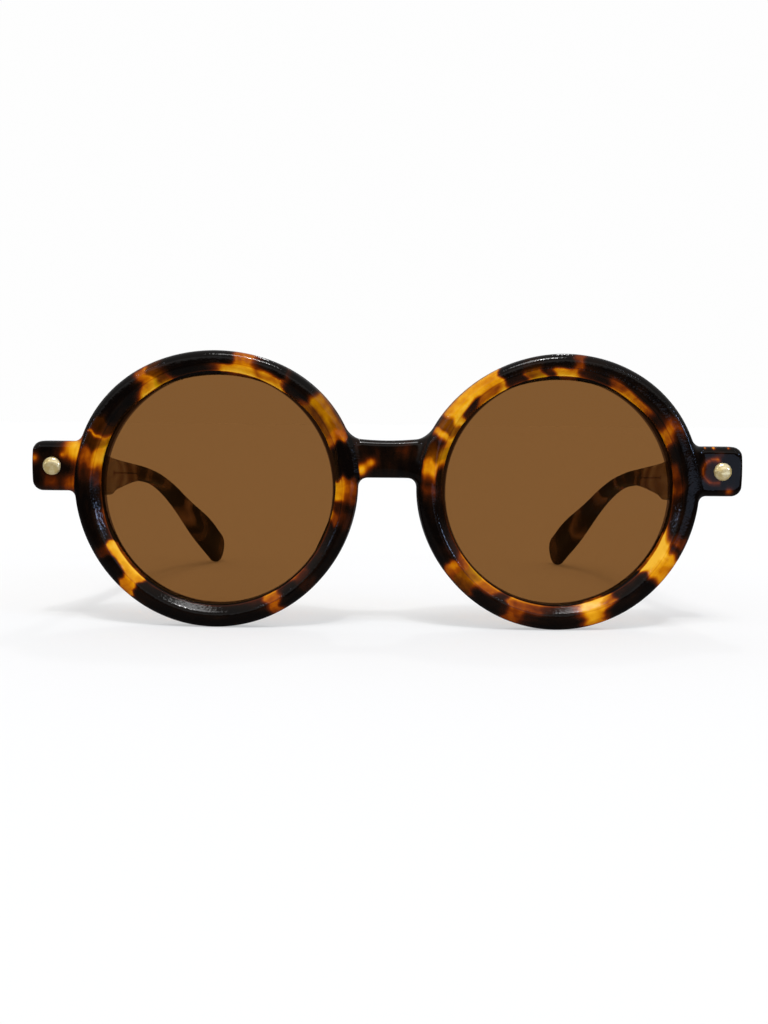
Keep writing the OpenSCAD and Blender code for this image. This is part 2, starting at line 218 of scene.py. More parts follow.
def newMaterial(name, **sockets):
    material = bpy.data.materials.new(name)
    tree = clearedTree(material)
    shader = addNode(tree, "ShaderNodeBsdfPrincipled", {k.replace("_", " "): v for k, v in sockets.items()})
    addNode(tree, "ShaderNodeOutputMaterial", {"Surface": shader.outputs["BSDF"]})
    return material, tree, shader


def rampColours(ramp, stops):
    elements = ramp.color_ramp.elements
    while len(elements) < len(stops):
        elements.new(0.5)
    for element, (position, colour) in zip(elements, stops):
        element.position = position
        element.color = srgb(colour) if isinstance(colour, str) else (colour, colour, colour, 1)


# Tortoiseshell cellulose acetate, pressed from amber and black-brown chips, cut, tumbled and polished.
# The eye gets soft dark blotches sunk in clear honey that darkens with its depth, under a wet-looking gloss.
frontLook = {
    "roughness": 0.05, "index": 1.48, "specular": 0.22,
    "warpMm": 4.0, "warpBy": 1.2, "throughStretch": 0.4, "speckMm": 1.3, "speckDepth": 0.16, "chipMm": 5.0,
    "chipDepth": 0.1, "chipSoftness": 0.12, "crispness": 0.5, "cloudMm": 3.4, "cloudDepth": 0.42,
    "ringDepth": 1.0, "streakDepth": 0.26, "streakGrain": (0.2, 0.2, 0.9), "faceDeep": 2.8, "faceFade": 0.8,
    "tintShare": 0.1, "wireDepth": 0.24, "wireCore": 0.05, "wireHalf": 0.28,
    "oliveHue": 0.512, "oliveSaturation": 1.05, "oliveValue": 0.7,
    "waveMm": 3.0, "waveHeightMm": 0.035, "nickMm": 0.45, "nickHeightMm": 0.027, "offset": (3.0, 11.0, 7.0),
}
templeLook = {
    **frontLook, "ringDepth": 0.0, "streakDepth": 0.0, "cloudDepth": 0.36, "tintShare": -0.1,
    "offset": (31.0, 5.0, 2.0),
}
# Colour of the stock by the depth of tint that the eye looks through
honeyDepths = [
    (0.0, "eab030"), (0.1, "df9d16"), (0.2, "cf8608"), (0.3, "b96a02"), (0.42, "944602"), (0.52, "702d02"),
    (0.64, "471903"), (0.78, "260e04"), (0.9, "100703"), (1.0, "060302"),
]
smokyDepths = [
    (0.0, "e6dccf"), (0.25, "c4b5a6"), (0.4, "a68f79"), (0.54, "8c6e59"), (0.7, "69503b"), (0.84, "392a1f"),
    (0.94, "1a110d"), (1.0, "0e0a08"),
]
# Painted light and shade, as a change of tint by distance from the lens centre in millimetres: shade where
# the rim meets the lens, the bevel lit from within, most of all beside the lens, and shade on the crease and
# the outline.
ringLightAndShade = [
    (22.9, 0.45), (23.2, 0.38), (23.38, -0.3), (23.62, -0.12), (24.1, -0.05), (24.85, -0.02), (25.02, 0.07),
    (25.22, -0.04), (26.2, 0.0), (27.7, 0.04), (28.1, 0.16), (28.4, 0.36), (28.7, 0.0),
]


def acetateMaterial(name, look, depths, outerDepths=None):
    material, tree, shader = newMaterial(
        name, Roughness=look["roughness"], IOR=look["index"], Specular_IOR_Level=look["specular"])
    place = addNode(tree, "ShaderNodeTexCoord")
    # Millimetres, with the pattern drawn out through the sheet's thickness
    inMm = addNode(tree, "ShaderNodeMapping", {
        "Vector": place.outputs["Object"], "Location": look["offset"],
        "Scale": (1 / mm, look["throughStretch"] / mm, 1 / mm),
    })
    warp = addNode(tree, "ShaderNodeTexNoise", {
        "Vector": inMm.outputs[0], "Scale": 1 / look["warpMm"], "Detail": 1.5, "Roughness": 0.5,
    })
    centred = addNode(tree, "ShaderNodeVectorMath", {
        0: warp.outputs["Color"], 1: (0.5, 0.5, 0.5)}, operation="SUBTRACT")
    pushed = addNode(tree, "ShaderNodeVectorMath", {
        0: centred.outputs[0], "Scale": 2 * look["warpBy"]}, operation="SCALE")
    moved = addNode(tree, "ShaderNodeVectorMath", {0: inMm.outputs[0], 1: pushed.outputs[0]}, operation="ADD")
    speck = addNode(tree, "ShaderNodeTexNoise", {
        "Vector": moved.outputs[0], "Scale": 1 / look["speckMm"], "Detail": 1.0, "Roughness": 0.5,
    })
    # The clear stock is itself a mosaic of chips, each of its own tone.
    chips = addNode(tree, "ShaderNodeTexVoronoi", {
        "Vector": moved.outputs[0], "Scale": 1 / look["chipMm"], "Randomness": 1.0,
        "Smoothness": look["chipSoftness"]}, feature="SMOOTH_F1")
    pick = addNode(tree, "ShaderNodeSeparateColor", {0: chips.outputs["Color"]})
    cloud = addNode(tree, "ShaderNodeTexNoise", {
        "Vector": moved.outputs[0], "Scale": 1 / look["cloudMm"], "Detail": 1.5})
    # What the painting below keeps at each point of a piece
    kept = {attribute: addNode(tree, "ShaderNodeAttribute", attribute_name=attribute) for attribute in (
        "chipTint", "oliveShare", "ringPlace", "fromFront", "fromWire", "tintShift")}
    ringParts = addNode(tree, "ShaderNodeSeparateXYZ", {0: kept["ringPlace"].outputs["Vector"]})
    # Light runs along the rim inside the stock, in long thin streaks.
    stretched = addNode(tree, "ShaderNodeVectorMath", {
        0: kept["ringPlace"].outputs["Vector"], 1: look["streakGrain"]}, operation="MULTIPLY")
    streak = addNode(tree, "ShaderNodeTexNoise", {
        "Vector": stretched.outputs[0], "Scale": 1.0, "Detail": 2.0})
    # The ring ramp lays painted light and shade round the rim, by distance from the lens centre.
    first, final = ringLightAndShade[0][0], ringLightAndShade[-1][0]
    ring = addNode(tree, "ShaderNodeValToRGB", {
        0: writeFormula(tree, "(r - first) / (final - first)", {
            "r": ringParts.outputs[2], "first": first, "final": final})})
    rampColours(ring, [((at - first) / (final - first), 0.5 + tint) for at, tint in ringLightAndShade])
    known = {
        **look, **{attribute: node.outputs["Fac"] for attribute, node in kept.items()},
        "speck": speck.outputs[0], "pick": pick.outputs[0], "cloud": cloud.outputs[0],
        "streak": streak.outputs[0], "ring": ring.outputs[0],
    }
    # The tint takes the painted ring light and shade near the face, and the painted shade and light round the
    # rivet shanks.
    writeFormulas(tree, [
        ("uneven", "chipDepth * (pick - 0.5) + cloudDepth * (cloud - 0.5) + speckDepth * (speck - 0.5)"),
        ("crisp", "chipTint + crispness * (rise(chipTint, 0.08, 0.8) - chipTint)"),
        ("inside", "crisp + tintShare * (0.5 - abs(crisp - 0.5)) + uneven * (1.15 - 0.75 * crisp)"),
        ("onFace", "ringDepth * min(max((faceDeep - fromFront) / faceFade, 0), 1)"),
        ("tint", "inside + onFace * (ring - 0.5 + streakDepth * (streak - 0.5)) + tintShift"),
        ("wired", "tint + wireDepth * (1 - rise(abs(fromWire), wireCore, wireHalf))"),
    ], known)
    tone = addNode(tree, "ShaderNodeValToRGB", {0: known["wired"]})
    rampColours(tone, depths)
    # Some chips of the clear stock are greener.
    olive = addNode(tree, "ShaderNodeHueSaturation", {
        "Hue": look["oliveHue"], "Saturation": look["oliveSaturation"], "Value": look["oliveValue"],
        "Fac": kept["oliveShare"].outputs["Fac"], "Color": tone.outputs[0]})
    colour = olive.outputs[0]
    if outerDepths:
        outerTone = addNode(tree, "ShaderNodeValToRGB", {0: known["wired"]})
        rampColours(outerTone, outerDepths)
        outer = addNode(tree, "ShaderNodeAttribute", attribute_name="outerShare")
        colour = addNode(tree, "ShaderNodeMix", {
            0: outer.outputs["Fac"], 6: colour, 7: outerTone.outputs[0]}, data_type="RGBA").outputs[2]
    tree.links.new(colour, shader.inputs["Base Color"])
    # Hand polishing leaves slow waves and small nicks, which break the highlights up.
    wave = addNode(tree, "ShaderNodeTexNoise", {
        "Vector": place.outputs["Object"], "Scale": 1 / (look["waveMm"] * mm), "Detail": 1.0})
    nick = addNode(tree, "ShaderNodeTexNoise", {
        "Vector": place.outputs["Object"], "Scale": 1 / (look["nickMm"] * mm), "Detail": 2.0})
    slow = addNode(tree, "ShaderNodeBump", {
        "Height": wave.outputs[0], "Strength": 1.0, "Distance": look["waveHeightMm"] * mm})
    # The bevels and outer edges are the least even, and the end pieces the flattest.
    quickBump = addNode(tree, "ShaderNodeBump", {
        "Height": writeFormula(tree, "nick * (1.5 - 0.5 * rise(r, 24.9, 25.3) + 0.6 * rise(r, 27.4, 28.2)"
                               " - 1.4 * rise(r, 28.6, 29.4))", {
            "nick": nick.outputs[0], "r": ringParts.outputs[2]}),
        "Strength": 1.0, "Distance": look["nickHeightMm"] * mm, "Normal": slow.outputs[0]})
    tree.links.new(quickBump.outputs[0], shader.inputs["Normal"])
    return material


frontAcetate = acetateMaterial("polishedTortoiseshellAcetate", frontLook, honeyDepths)
templeAcetate = acetateMaterial("smokyTortoiseshellAcetate", templeLook, smokyDepths, honeyDepths)

# Tinted nylon lens, moulded and hard coated: flat even brown with a faint gloss
lensLook = {
    "tint": "7e5730", "grooveShade": "1c0d06", "edgeFrom": 22.85, "edgeTo": 22.98, "scatterGlow": 0.035, "index": 1.05,
}


def lensMaterial():
    # The lens is thin and nearly flat, so it hardly bends the view, and its index is set low.
    material, tree, shader = newMaterial(
        "tintedBrownLens", Roughness=0.0, IOR=lensLook["index"], Transmission_Weight=1.0)
    # Painted shade: the rim's groove shades the edge that the eye still sees, so that edge is darker.
    ringPlace = addNode(tree, "ShaderNodeAttribute", attribute_name="ringPlace")
    ringParts = addNode(tree, "ShaderNodeSeparateXYZ", {0: ringPlace.outputs["Vector"]})
    share = writeFormula(tree, "min(max((r - start) / (end - start), 0), 1)", {
        "r": ringParts.outputs[2], "start": lensLook["edgeFrom"], "end": lensLook["edgeTo"]})
    mixed = addNode(tree, "ShaderNodeMix", {
        0: share, 6: srgb(lensLook["tint"]), 7: srgb(lensLook["grooveShade"])}, data_type="RGBA")
    tree.links.new(mixed.outputs[2], shader.inputs["Base Color"])
    # Painted light: the lens glows faintly in its own tint, in place of the light scattered inside it.
    shader.inputs["Emission Color"].default_value = srgb(lensLook["tint"])
    shader.inputs["Emission Strength"].default_value = lensLook["scatterGlow"] / 2
    return material


lensTint = lensMaterial()
metalWear = {"wornFrom": 0.4, "wornTo": 0.62, "roughnessSpread": 0.5, "dentScale": 2.2}


def metalMaterial(name, colour, worn, roughness, grainMm, dentMm, metallic=1.0):
    # A bare or plated metal: worn patches in its colour and roughness, and fine dents
    material, tree, shader = newMaterial(name, Metallic=metallic)
    place = addNode(tree, "ShaderNodeTexCoord").outputs["Object"]
    patch = addNode(tree, "ShaderNodeTexNoise", {"Vector": place, "Scale": 1 / (grainMm * mm), "Detail": 3.0})
    known = {**metalWear, "patch": patch.outputs[0], "least": roughness}
    mixed = addNode(tree, "ShaderNodeMix", {
        0: writeFormula(tree, "rise(patch, wornFrom, wornTo)", known), 6: srgb(colour), 7: srgb(worn)},
        data_type="RGBA")
    tree.links.new(mixed.outputs[2], shader.inputs["Base Color"])
    rough = writeFormula(tree, "least + roughnessSpread * least * patch", known)
    tree.links.new(rough, shader.inputs["Roughness"])
    dents = addNode(tree, "ShaderNodeTexNoise", {
        "Vector": place, "Scale": 1 / (metalWear["dentScale"] * grainMm * mm), "Detail": 1.0})
    bump = addNode(tree, "ShaderNodeBump", {
        "Height": dents.outputs[0], "Strength": 1.0, "Distance": dentMm * mm})
    tree.links.new(bump.outputs[0], shader.inputs["Normal"])
    return material


# Brass rivet, turned, hand set and plated pale gold: a bright coin with soft dents from the setting
paleGold = metalMaterial("handSetPaleGoldPlate", colour="fbe9b8", worn="dcc384", roughness=0.12,
                         grainMm=1.5, dentMm=0.34, metallic=0.58)
# Nickel silver hinge, milled and tumbled: a grey sheen with dull patches
hingeMetal = metalMaterial("tumbledNickelSilver", colour="b9b2a4", worn="968f82", roughness=0.28,
                           grainMm=0.9, dentMm=0.02)
# Core wire, drawn stainless steel: dull grey with fine drawing marks
wireSteel = metalMaterial("drawnStainlessWire", colour="8f8d8a", worn="77757a", roughness=0.34,
                          grainMm=0.4, dentMm=0.01)
print("materials made")

# The front's own frame: lx along the swept half, ly from its front plane back, lz up from the table
frontSizes = {
    "wrapAngle": math.radians(3), "lensCentre": 35.0, "middleBlend": 2.0, "smallEdge": 0.3,
    "rimRadius": 28.456, "rimWidth": 5.3, "rimDepth": 5.0, "rimCentreZ": 28.29, "outerEdge": 1.5,
    "backEdge": 0.8, "bevelWidth": 1.9, "bevelDepth": 1.5, "faceCrown": 0.12,
    "outlineLift": 0.079, "outlineWidth": 0.3625, "outlinePanto": 0.324, "outlineSquare": 0.049,
    "grooveRadius": 24.1, "grooveFront": 2.4, "grooveBack": 4.5, "grooveInset": 2.0,
    "endHeight": 10.1, "endFront": 1.2, "endBack": 6.2, "endCorner": 2.0, "endEdge": 1.2, "endBow": 0.25,
    "endMitre": 2.65, "endFillet": 1.6, "endOverlap": 3.0,
    "bridgeBottom": 30.7, "bridgeTop": 38.2, "bridgeSag": 0.008, "bridgeFront": 0.9, "bridgeBack": 4.7,
    "bridgeEdge": 1.1, "bridgeLowEdge": 0.8, "bridgeBevel": 1.6, "bridgeArch": 0.03, "bridgeFillet": 2.0,
    "bridgeOverlap": 2.5,
    "leftOpenX": -0.5, "leftOpenZ": -0.12, "leftOpenGrow": 0.46, "rightOpenX": -0.07, "rightOpenZ": -0.13,
    "rightOpenGrow": 0.04, "rightDent": 1.0,
}
wrapSin = math.sin(frontSizes["wrapAngle"])
wrapCos = math.cos(frontSizes["wrapAngle"])
cadRimRadius = 28.5  # The CAD's front plane is set from its plain round rim.
frontSizes["planeY"] = frontBox[0].y / mm - (
    frontSizes["lensCentre"] - cadRimRadius + frontSizes["outerEdge"]) * wrapSin
frontSizes["endX"] = (
    frontBox[1].x / mm + (frontSizes["endFront"] + frontSizes["endEdge"]) * wrapSin) / wrapCos
frontSizes["endMiddle"] = hingeAt["right"].z
# Nothing of the front stands before the CAD's own foremost point.
frontSizes["foremost"] = frontBox[0].y / mm + 0.005
# Distance of the hinge axis from the middle, along the front's swept half
hingeLocalX = hingeAt["right"].x * wrapCos + (hingeAt["right"].y - frontSizes["planeY"]) * wrapSin
# Grain of the front's first skin, the room round it, and how it is pulled onto the true surface
skinLook = {"voxelMm": 0.34, "room": 0.7, "roomAhead": 0.9, "passes": 2, "probeMm": 0.02}
# Pocket behind each end piece for the hinge's front leaf, from the hinge axis to the end
leafSeat = {"inwards": 2.6, "fromEnd": 2.3, "deep": 1.0, "clear": 2.0, "half": 2.55}

# Radius at which the outline would be a plain circle, about the rim's centre
outlineLines = [
    ("rho", "sqrt(u * u + v * v) + 0.001"),
    ("c", "v / rho"),
    ("swell", "outlineLift * c - outlineWidth * (2 * c * c - 1) - outlinePanto * (4 * c * c * c - 3 * c)"
              " - outlineSquare * (8 * c * c * (c * c - 1) + 1)"),
]
# The hand-filed openings are each a little off the rim's centre.
openingSizes = {k: frontSizes[k] for k in (
    "leftOpenX", "leftOpenZ", "leftOpenGrow", "rightOpenX", "rightOpenZ", "rightOpenGrow")}
openingLines = [
    ("isRight", "(1 + which) / 2"),
    ("openX", "leftOpenX + (rightOpenX - leftOpenX) * isRight"),
    ("openZ", "leftOpenZ + (rightOpenZ - leftOpenZ) * isRight"),
    ("openGrow", "leftOpenGrow + (rightOpenGrow - leftOpenGrow) * isRight"),
]


def roundEdge(a, b, radius):
    # Where both surfaces bound a solid, the edge between them gets this radius.
    return f"min(-{radius}, max({a}, {b})) + sqrt(max({a} + {radius}, 0) ** 2 + max({b} + {radius}, 0) ** 2)"


def roundJoin(a, b, radius):
    # Where two solids meet, the corner between them gets this fillet.
    return f"max({radius}, min({a}, {b})) - sqrt(max({radius} - {a}, 0) ** 2 + max({radius} - {b}, 0) ** 2)"


frontLines = [
    ("fy", "py - planeY"),
    ("sx", "sqrt(px * px + middleBlend)"),
    ("lx", "sx * cos(wrapAngle) + fy * sin(wrapAngle)"),
    ("ly", "fy * cos(wrapAngle) - sx * sin(wrapAngle)"),
    ("u", "lx - lensCentre"),
    ("v", "pz - rimCentreZ"),
    *outlineLines,
    ("which", "px / sx"),
    *openingLines,
    # The right rim is flatter over the bridge.
    ("dent", "rightDent * isRight * max((v - u) / (1.41421 * rho), 0) ** 6"),
    ("r", "rho - swell"),
    ("rIn", "sqrt((u - openX) ** 2 + (v - openZ) ** 2) - swell - openGrow"),
    # Rim: a section with a rounded front edge, small back edges and a bevel down to the lens
    ("rimMiddle", "rimRadius - rimWidth / 2"),
    ("rimInside", "rimRadius - rimWidth"),
    ("across", "(r - rimMiddle) / (rimWidth / 2)"),
    ("crowned", "ly - faceCrown * min(across * across, 1) * above(rimDepth / 2, ly)"),
    ("corner", "backEdge + (outerEdge - backEdge) * above(r, rimMiddle) * above(rimDepth / 2, ly)"),
    ("qr", "max(r - rimRadius + dent, rimInside - rIn) + corner"),
    ("qy", "abs(crowned - rimDepth / 2) - rimDepth / 2 + corner"),
    ("ring", "sqrt(max(qr, 0) ** 2 + max(qy, 0) ** 2) + min(max(qr, qy), 0) - corner"),
    ("bevel", "(bevelDepth * (rimInside + bevelWidth - rIn) - bevelWidth * crowned)"
              " / sqrt(bevelWidth ** 2 + bevelDepth ** 2)"),
    ("rim", roundEdge("ring", "bevel", "smallEdge")),
    # End piece: a rounded slab, set back from the rim's face and mitred behind
    ("bowed", "lx + endBow * ((pz - endMiddle) / (endHeight / 2)) ** 2"),
    ("endStart", "lensCentre + rimRadius - endOverlap"),
    ("ex", "abs(bowed - (endX + endStart) / 2) - (endX - endStart) / 2 + endCorner"),
    ("ez", "abs(pz - endMiddle) - endHeight / 2 + endCorner"),
    ("endPlan", "sqrt(max(ex, 0) ** 2 + max(ez, 0) ** 2) + min(max(ex, ez), 0) - endCorner"),
    ("endFace", "endFront - ly"),
    ("endSlab", roundEdge("endPlan", "endFace", "endEdge")),
    ("endRear", "ly - endBack"),
    ("endCut", roundEdge("endSlab", "endRear", "smallEdge")),
    ("mitre", "(lx - endX + endMitre + ly - endBack) / 1.41421"),
    ("end", roundEdge("endCut", "mitre", "smallEdge")),
    # Bridge: a bar with a rounded top edge and an arched bevel underneath
    ("bridgeRoof", "pz - bridgeTop - bridgeSag * lx * lx"),
    ("bridgeFace", "bridgeFront - ly"),
    ("bridgeUpper", roundEdge("bridgeRoof", "bridgeFace", "bridgeEdge")),
    ("bridgeUnder", "bridgeBottom - pz"),
    ("bridgeRear", "ly - bridgeBack"),
    ("bridgeLower", roundEdge("bridgeUnder", "bridgeRear", "bridgeLowEdge")),
    ("bridgeSlope", "(bridgeFront + bridgeBevel - ly + bridgeBottom - pz - bridgeArch * lx * lx) / 1.41421"),
    ("bridgeBar", roundEdge("bridgeUpper", "bridgeLower", "bridgeLowEdge")),
    ("bridgeCut", roundEdge("bridgeBar", "bridgeSlope", "smallEdge")),
    ("bridge", "max(bridgeCut, lx - lensCentre + rimRadius - bridgeOverlap)"),
    # Together, with the lens groove taken out
    ("withEnds", roundJoin("rim", "end", "endFillet")),
    ("joined", roundJoin("withEnds", "bridge", "bridgeFillet")),
    ("solid", "max(joined, foremost - py)"),
    ("grooveWalls", "max(grooveFront - ly, ly - grooveBack)"),
    ("groove", "max(grooveWalls, max(rIn - grooveRadius, rimInside - grooveInset - rIn))"),
    ("distance", "max(solid, -groove)"),
]


def distanceTree(name, sizes, lines):
    # A tree that says how far a point lies outside the solid, in millimetres
    tree, given, out = newTree(name, sizes, "Point", ("Distance", "NodeSocketFloat"))
    known = {**knownSizes(given, sizes), **knownPoint(tree, given.outputs["Point"])}
    writeFormulas(tree, lines, known)
    tree.links.new(known["distance"], out.inputs[0])
    return tree


def solidTree(name, sizes, distance, low, high, material):
    # Fills a box with the distance, wraps a skin round the solid and pulls the skin onto its true surface.
    tree, given, out = newTree(name, sizes)

    def distanceAt(point):
        wanted = {"Point": point, **knownSizes(given, sizes)}
        return addNode(tree, "GeometryNodeGroup", wanted, node_tree=distance).outputs[0]

    here = addNode(tree, "GeometryNodeInputPosition").outputs[0]
    density = addNode(tree, "ShaderNodeMath", {0: distanceAt(here), 1: -1.0}, operation="MULTIPLY")
    counts = [math.ceil((high[i] - low[i]) / skinLook["voxelMm"]) for i in range(3)]
    block = addNode(tree, "GeometryNodeVolumeCube", {
        "Density": density.outputs[0], "Background": -1.0, "Min": Vector(low) * mm, "Max": Vector(high) * mm,
        "Resolution X": counts[0], "Resolution Y": counts[1], "Resolution Z": counts[2],
    })
    skin = addNode(tree, "GeometryNodeVolumeToMesh", {"Volume": block.outputs[0], "Threshold": 0.0})
    last = skin.outputs[0]
    probe = skinLook["probeMm"] * mm
    for _ in range(skinLook["passes"]):
        here = addNode(tree, "GeometryNodeInputPosition").outputs[0]
        centre = distanceAt(here)
        slopes = []
        for axis in range(3):
            step = Vector((0, 0, 0))
            step[axis] = probe
            near = addNode(tree, "ShaderNodeVectorMath", {0: here, 1: step}, operation="ADD").outputs[0]
            slopes.append(addNode(
                tree, "ShaderNodeMath", {0: distanceAt(near), 1: centre}, operation="SUBTRACT").outputs[0])
        slope = addNode(tree, "ShaderNodeCombineXYZ", dict(enumerate(slopes)))
        steepest = addNode(tree, "ShaderNodeVectorMath", {0: slope.outputs[0]}, operation="NORMALIZE")
        back = addNode(tree, "ShaderNodeMath", {0: centre, 1: -mm}, operation="MULTIPLY")
        shift = addNode(tree, "ShaderNodeVectorMath", {
            0: steepest.outputs[0], "Scale": back.outputs[0]}, operation="SCALE")
        last = addNode(tree, "GeometryNodeSetPosition", {
            "Geometry": last, "Offset": shift.outputs[0]}).outputs[0]
    smooth = addNode(tree, "GeometryNodeSetShadeSmooth", {"Geometry": last})
    real = addNode(tree, "GeometryNodeRealizeInstances", {"Geometry": smooth.outputs[0]})
    painted = addNode(tree, "GeometryNodeSetMaterial", {"Geometry": real.outputs[0], "Material": material})
    tree.links.new(painted.outputs[0], out.inputs[0])
    return tree


# Depth of tint of the chips round each rim, by clock angle in degrees from the top: the flat face, then the
# bevel down to the lens
faceChips = {
    "left": [
        (-180, 0.95), (-153, 0.9), (-150, 0.78), (-147, 0.72), (-142, 0.66), (-140.5, 0.22), (-134.5, 0.24),
        (-132, 0.92), (-124, 0.9), (-121.5, 0.48), (-118.5, 0.52), (-115, 0.86), (-100, 0.94), (-90, 0.88),
        (-86, 0.55), (-81, 0.48), (-79, 0.34), (-73.5, 0.36), (-71.5, 0.5), (-67, 0.46), (-66, 0.18),
        (-65, 0.48), (-59.5, 0.5), (-56.5, 0.94), (-43, 0.97), (-38, 0.6), (-35.5, 0.3), (-31.5, 0.28),
        (-30, 0.42), (-25.5, 0.46), (-22, 0.72), (-19, 0.98), (3, 1.0), (6.5, 0.72), (8.5, 0.3),
        (15.5, 0.24), (18.5, 0.5), (22, 0.82), (25, 0.93), (29.5, 0.86), (31.5, 0.5), (33, 0.58),
        (35, 0.92), (43, 0.94), (45.5, 0.5), (47.5, 0.24), (57, 0.26), (62, 0.24), (66, 0.22), (68.5, 0.26),
        (70.5, 0.75), (72.5, 0.99), (83, 0.98), (85.5, 0.42), (88, 0.34), (94.5, 0.42), (97.5, 0.66),
        (101, 0.54), (105, 0.6), (108, 0.86), (113, 0.78), (117, 0.88), (131, 0.84), (134, 0.6),
        (139, 0.58), (142, 0.86), (146, 0.82), (149, 0.62), (151, 0.3), (154.5, 0.32), (157, 0.7),
        (162, 0.92),
    ],
    "right": [
        (-180, 0.88), (-174, 0.84), (-171, 0.72), (-166, 0.68), (-163, 0.46), (-157, 0.46), (-155, 0.72),
        (-149, 0.9), (-141, 0.88), (-138, 0.5), (-129, 0.46), (-126, 0.34), (-124, 0.38), (-122, 0.78),
        (-117, 0.84), (-115, 0.97), (-97, 0.98), (-94, 0.8), (-90, 0.58), (-87, 0.66), (-84, 0.46),
        (-81, 0.26), (-77.5, 0.28), (-75, 0.44), (-70.5, 0.48), (-67.5, 0.62), (-65, 0.26), (-63.5, 0.24),
        (-62.5, 0.46), (-58, 0.46), (-56, 0.22), (-46, 0.18), (-36, 0.26), (-28.5, 0.3), (-26.5, 0.8),
        (-25, 0.96), (-18, 0.93), (-16, 0.7), (-9.5, 0.68), (-7.5, 0.93), (3.5, 0.93), (6.5, 0.5),
        (9.5, 0.44), (11.5, 0.78), (17, 0.84), (20, 0.95), (50, 0.93), (54, 0.76), (57, 0.5), (61.5, 0.46),
        (64, 0.66), (68, 0.8), (70, 0.99), (96, 1.0), (99, 0.86), (107, 0.84), (110, 0.56), (113.5, 0.5),
        (115.5, 0.7), (118, 0.5), (120, 0.22), (131, 0.2), (133.5, 0.5), (136, 0.92), (153, 0.93),
        (156.5, 0.6), (159.5, 0.24), (165.5, 0.22), (168.5, 0.5), (172, 0.84),
    ],
}
bevelChips = {
    "left": [
        (-180, 0.93), (-151, 0.92), (-146, 0.84), (-142, 0.74), (-140, 0.16), (-117, 0.12), (-115, 0.74),
        (-110, 0.86), (-107, 0.62), (-101, 0.58), (-98, 0.88), (-92, 0.86), (-89, 0.52), (-85, 0.5),
        (-82, 0.36), (-79, 0.14), (-72.5, 0.14), (-70, 0.32), (-66.5, 0.3), (-64.5, 0.52), (-60, 0.6),
        (-56, 0.9), (-44, 0.92), (-40, 0.56), (-36.5, 0.16), (-30, 0.14), (-28, 0.4), (-23.5, 0.44),
        (-20.5, 0.9), (-6, 0.96), (-2, 0.6), (2, 0.24), (5, 0.12), (16, 0.12), (19, 0.32), (22.5, 0.18),
        (31, 0.16), (34, 0.5), (36.5, 0.82), (41, 0.84), (44, 0.46), (47, 0.34), (57, 0.36), (60, 0.3),
        (67.5, 0.28), (70.5, 0.7), (73, 0.95), (83, 0.94), (85.5, 0.24), (94, 0.2), (96.5, 0.66),
        (99.5, 0.62), (102, 0.38), (105.5, 0.4), (108, 0.78), (129, 0.8), (132, 0.5), (139, 0.46),
        (142, 0.78), (147, 0.72), (149.5, 0.34), (155.5, 0.3), (158, 0.66), (165, 0.9),
    ],
    "right": [
        (-180, 0.78), (-174, 0.68), (-171, 0.5), (-163, 0.44), (-156, 0.4), (-154, 0.78), (-151, 0.76),
        (-148, 0.46), (-141, 0.46), (-138, 0.4), (-131, 0.42), (-128, 0.46), (-123, 0.5), (-120, 0.8),
        (-112, 0.84), (-108, 0.95), (-83, 0.95), (-80, 0.6), (-77, 0.34), (-65, 0.3), (-63, 0.46),
        (-57.5, 0.44), (-55.5, 0.22), (-53, 0.3), (-51, 0.72), (-44, 0.74), (-41.5, 0.44), (-31.5, 0.42),
        (-28.5, 0.3), (-26, 0.78), (-19, 0.8), (-17, 0.42), (-9, 0.4), (-6.5, 0.78), (-4, 0.66),
        (-1.5, 0.24), (7, 0.24), (9.5, 0.62), (15, 0.84), (22, 0.8), (25, 0.5), (29, 0.42), (45, 0.4),
        (49, 0.6), (52, 0.86), (56, 0.66), (59, 0.4), (65, 0.42), (68.5, 0.84), (73, 0.84), (76, 0.54),
        (81, 0.58), (84, 0.66), (90, 0.56), (94, 0.84), (107, 0.84), (110, 0.56), (113.5, 0.3), (115, 0.12),
        (131, 0.12), (133.5, 0.6), (137, 0.88), (149, 0.86), (152, 0.42), (156, 0.34), (158.5, 0.2),
        (167, 0.2), (170, 0.42), (175, 0.66),
    ],
}
# Change of tint of each rim on the whole
sideTints = {"left": 0.082, "right": -0.015}
# Arcs where the clear stock is greener, from and to in degrees
oliveArcs = {
    "left": [(-72, -67), (-64.5, -58), (-31, -24), (46, 64)],
    "right": [(-76, -69), (-63, -57.5), (-16.5, -8.5), (-138, -129)],
}
# Chips in the bridge and the end pieces: place in millimetres as the front is seen, reach, change of tint
otherChips = [
    (-3.2, 33.9, 1.3, -0.55), (-5.3, 32.2, 1.6, -0.75), (5.0, 33.0, 2.2, 0.2), (-9.0, 36.0, 2.0, 0.2),
    (3.4, 35.8, 2.2, -0.24), (-63.4, 35.9, 2.9, -0.62), (-71.8, 34.1, 1.3, -0.42), (-63.4, 29.0, 2.7, -0.4),
    (-68.5, 29.3, 1.6, -0.22), (-69.5, 36.6, 2.2, 0.25), (-71.6, 29.6, 1.4, 0.2), (69.6, 28.3, 1.3, -0.62),
    (68.0, 36.0, 1.1, -0.4), (64.55, 37.3, 0.4, -0.8), (66.3, 37.3, 0.5, -0.8), (69.4, 37.25, 0.4, -0.75),
]
# Depth of tint of the bridge and the end pieces on the whole
otherTints = {"left": 0.74, "bridge": 0.84, "right": 1.02}
# Shadow of the left rivet's shank in the clear stock, and the light beside it: place, reach, change of tint
rivetGlows = [(-65.6, 32.6, 1.5, 0.2), (-64.6, 31.2, 1.3, 0.15), (-66.2, 34.7, 0.5, -0.3)]
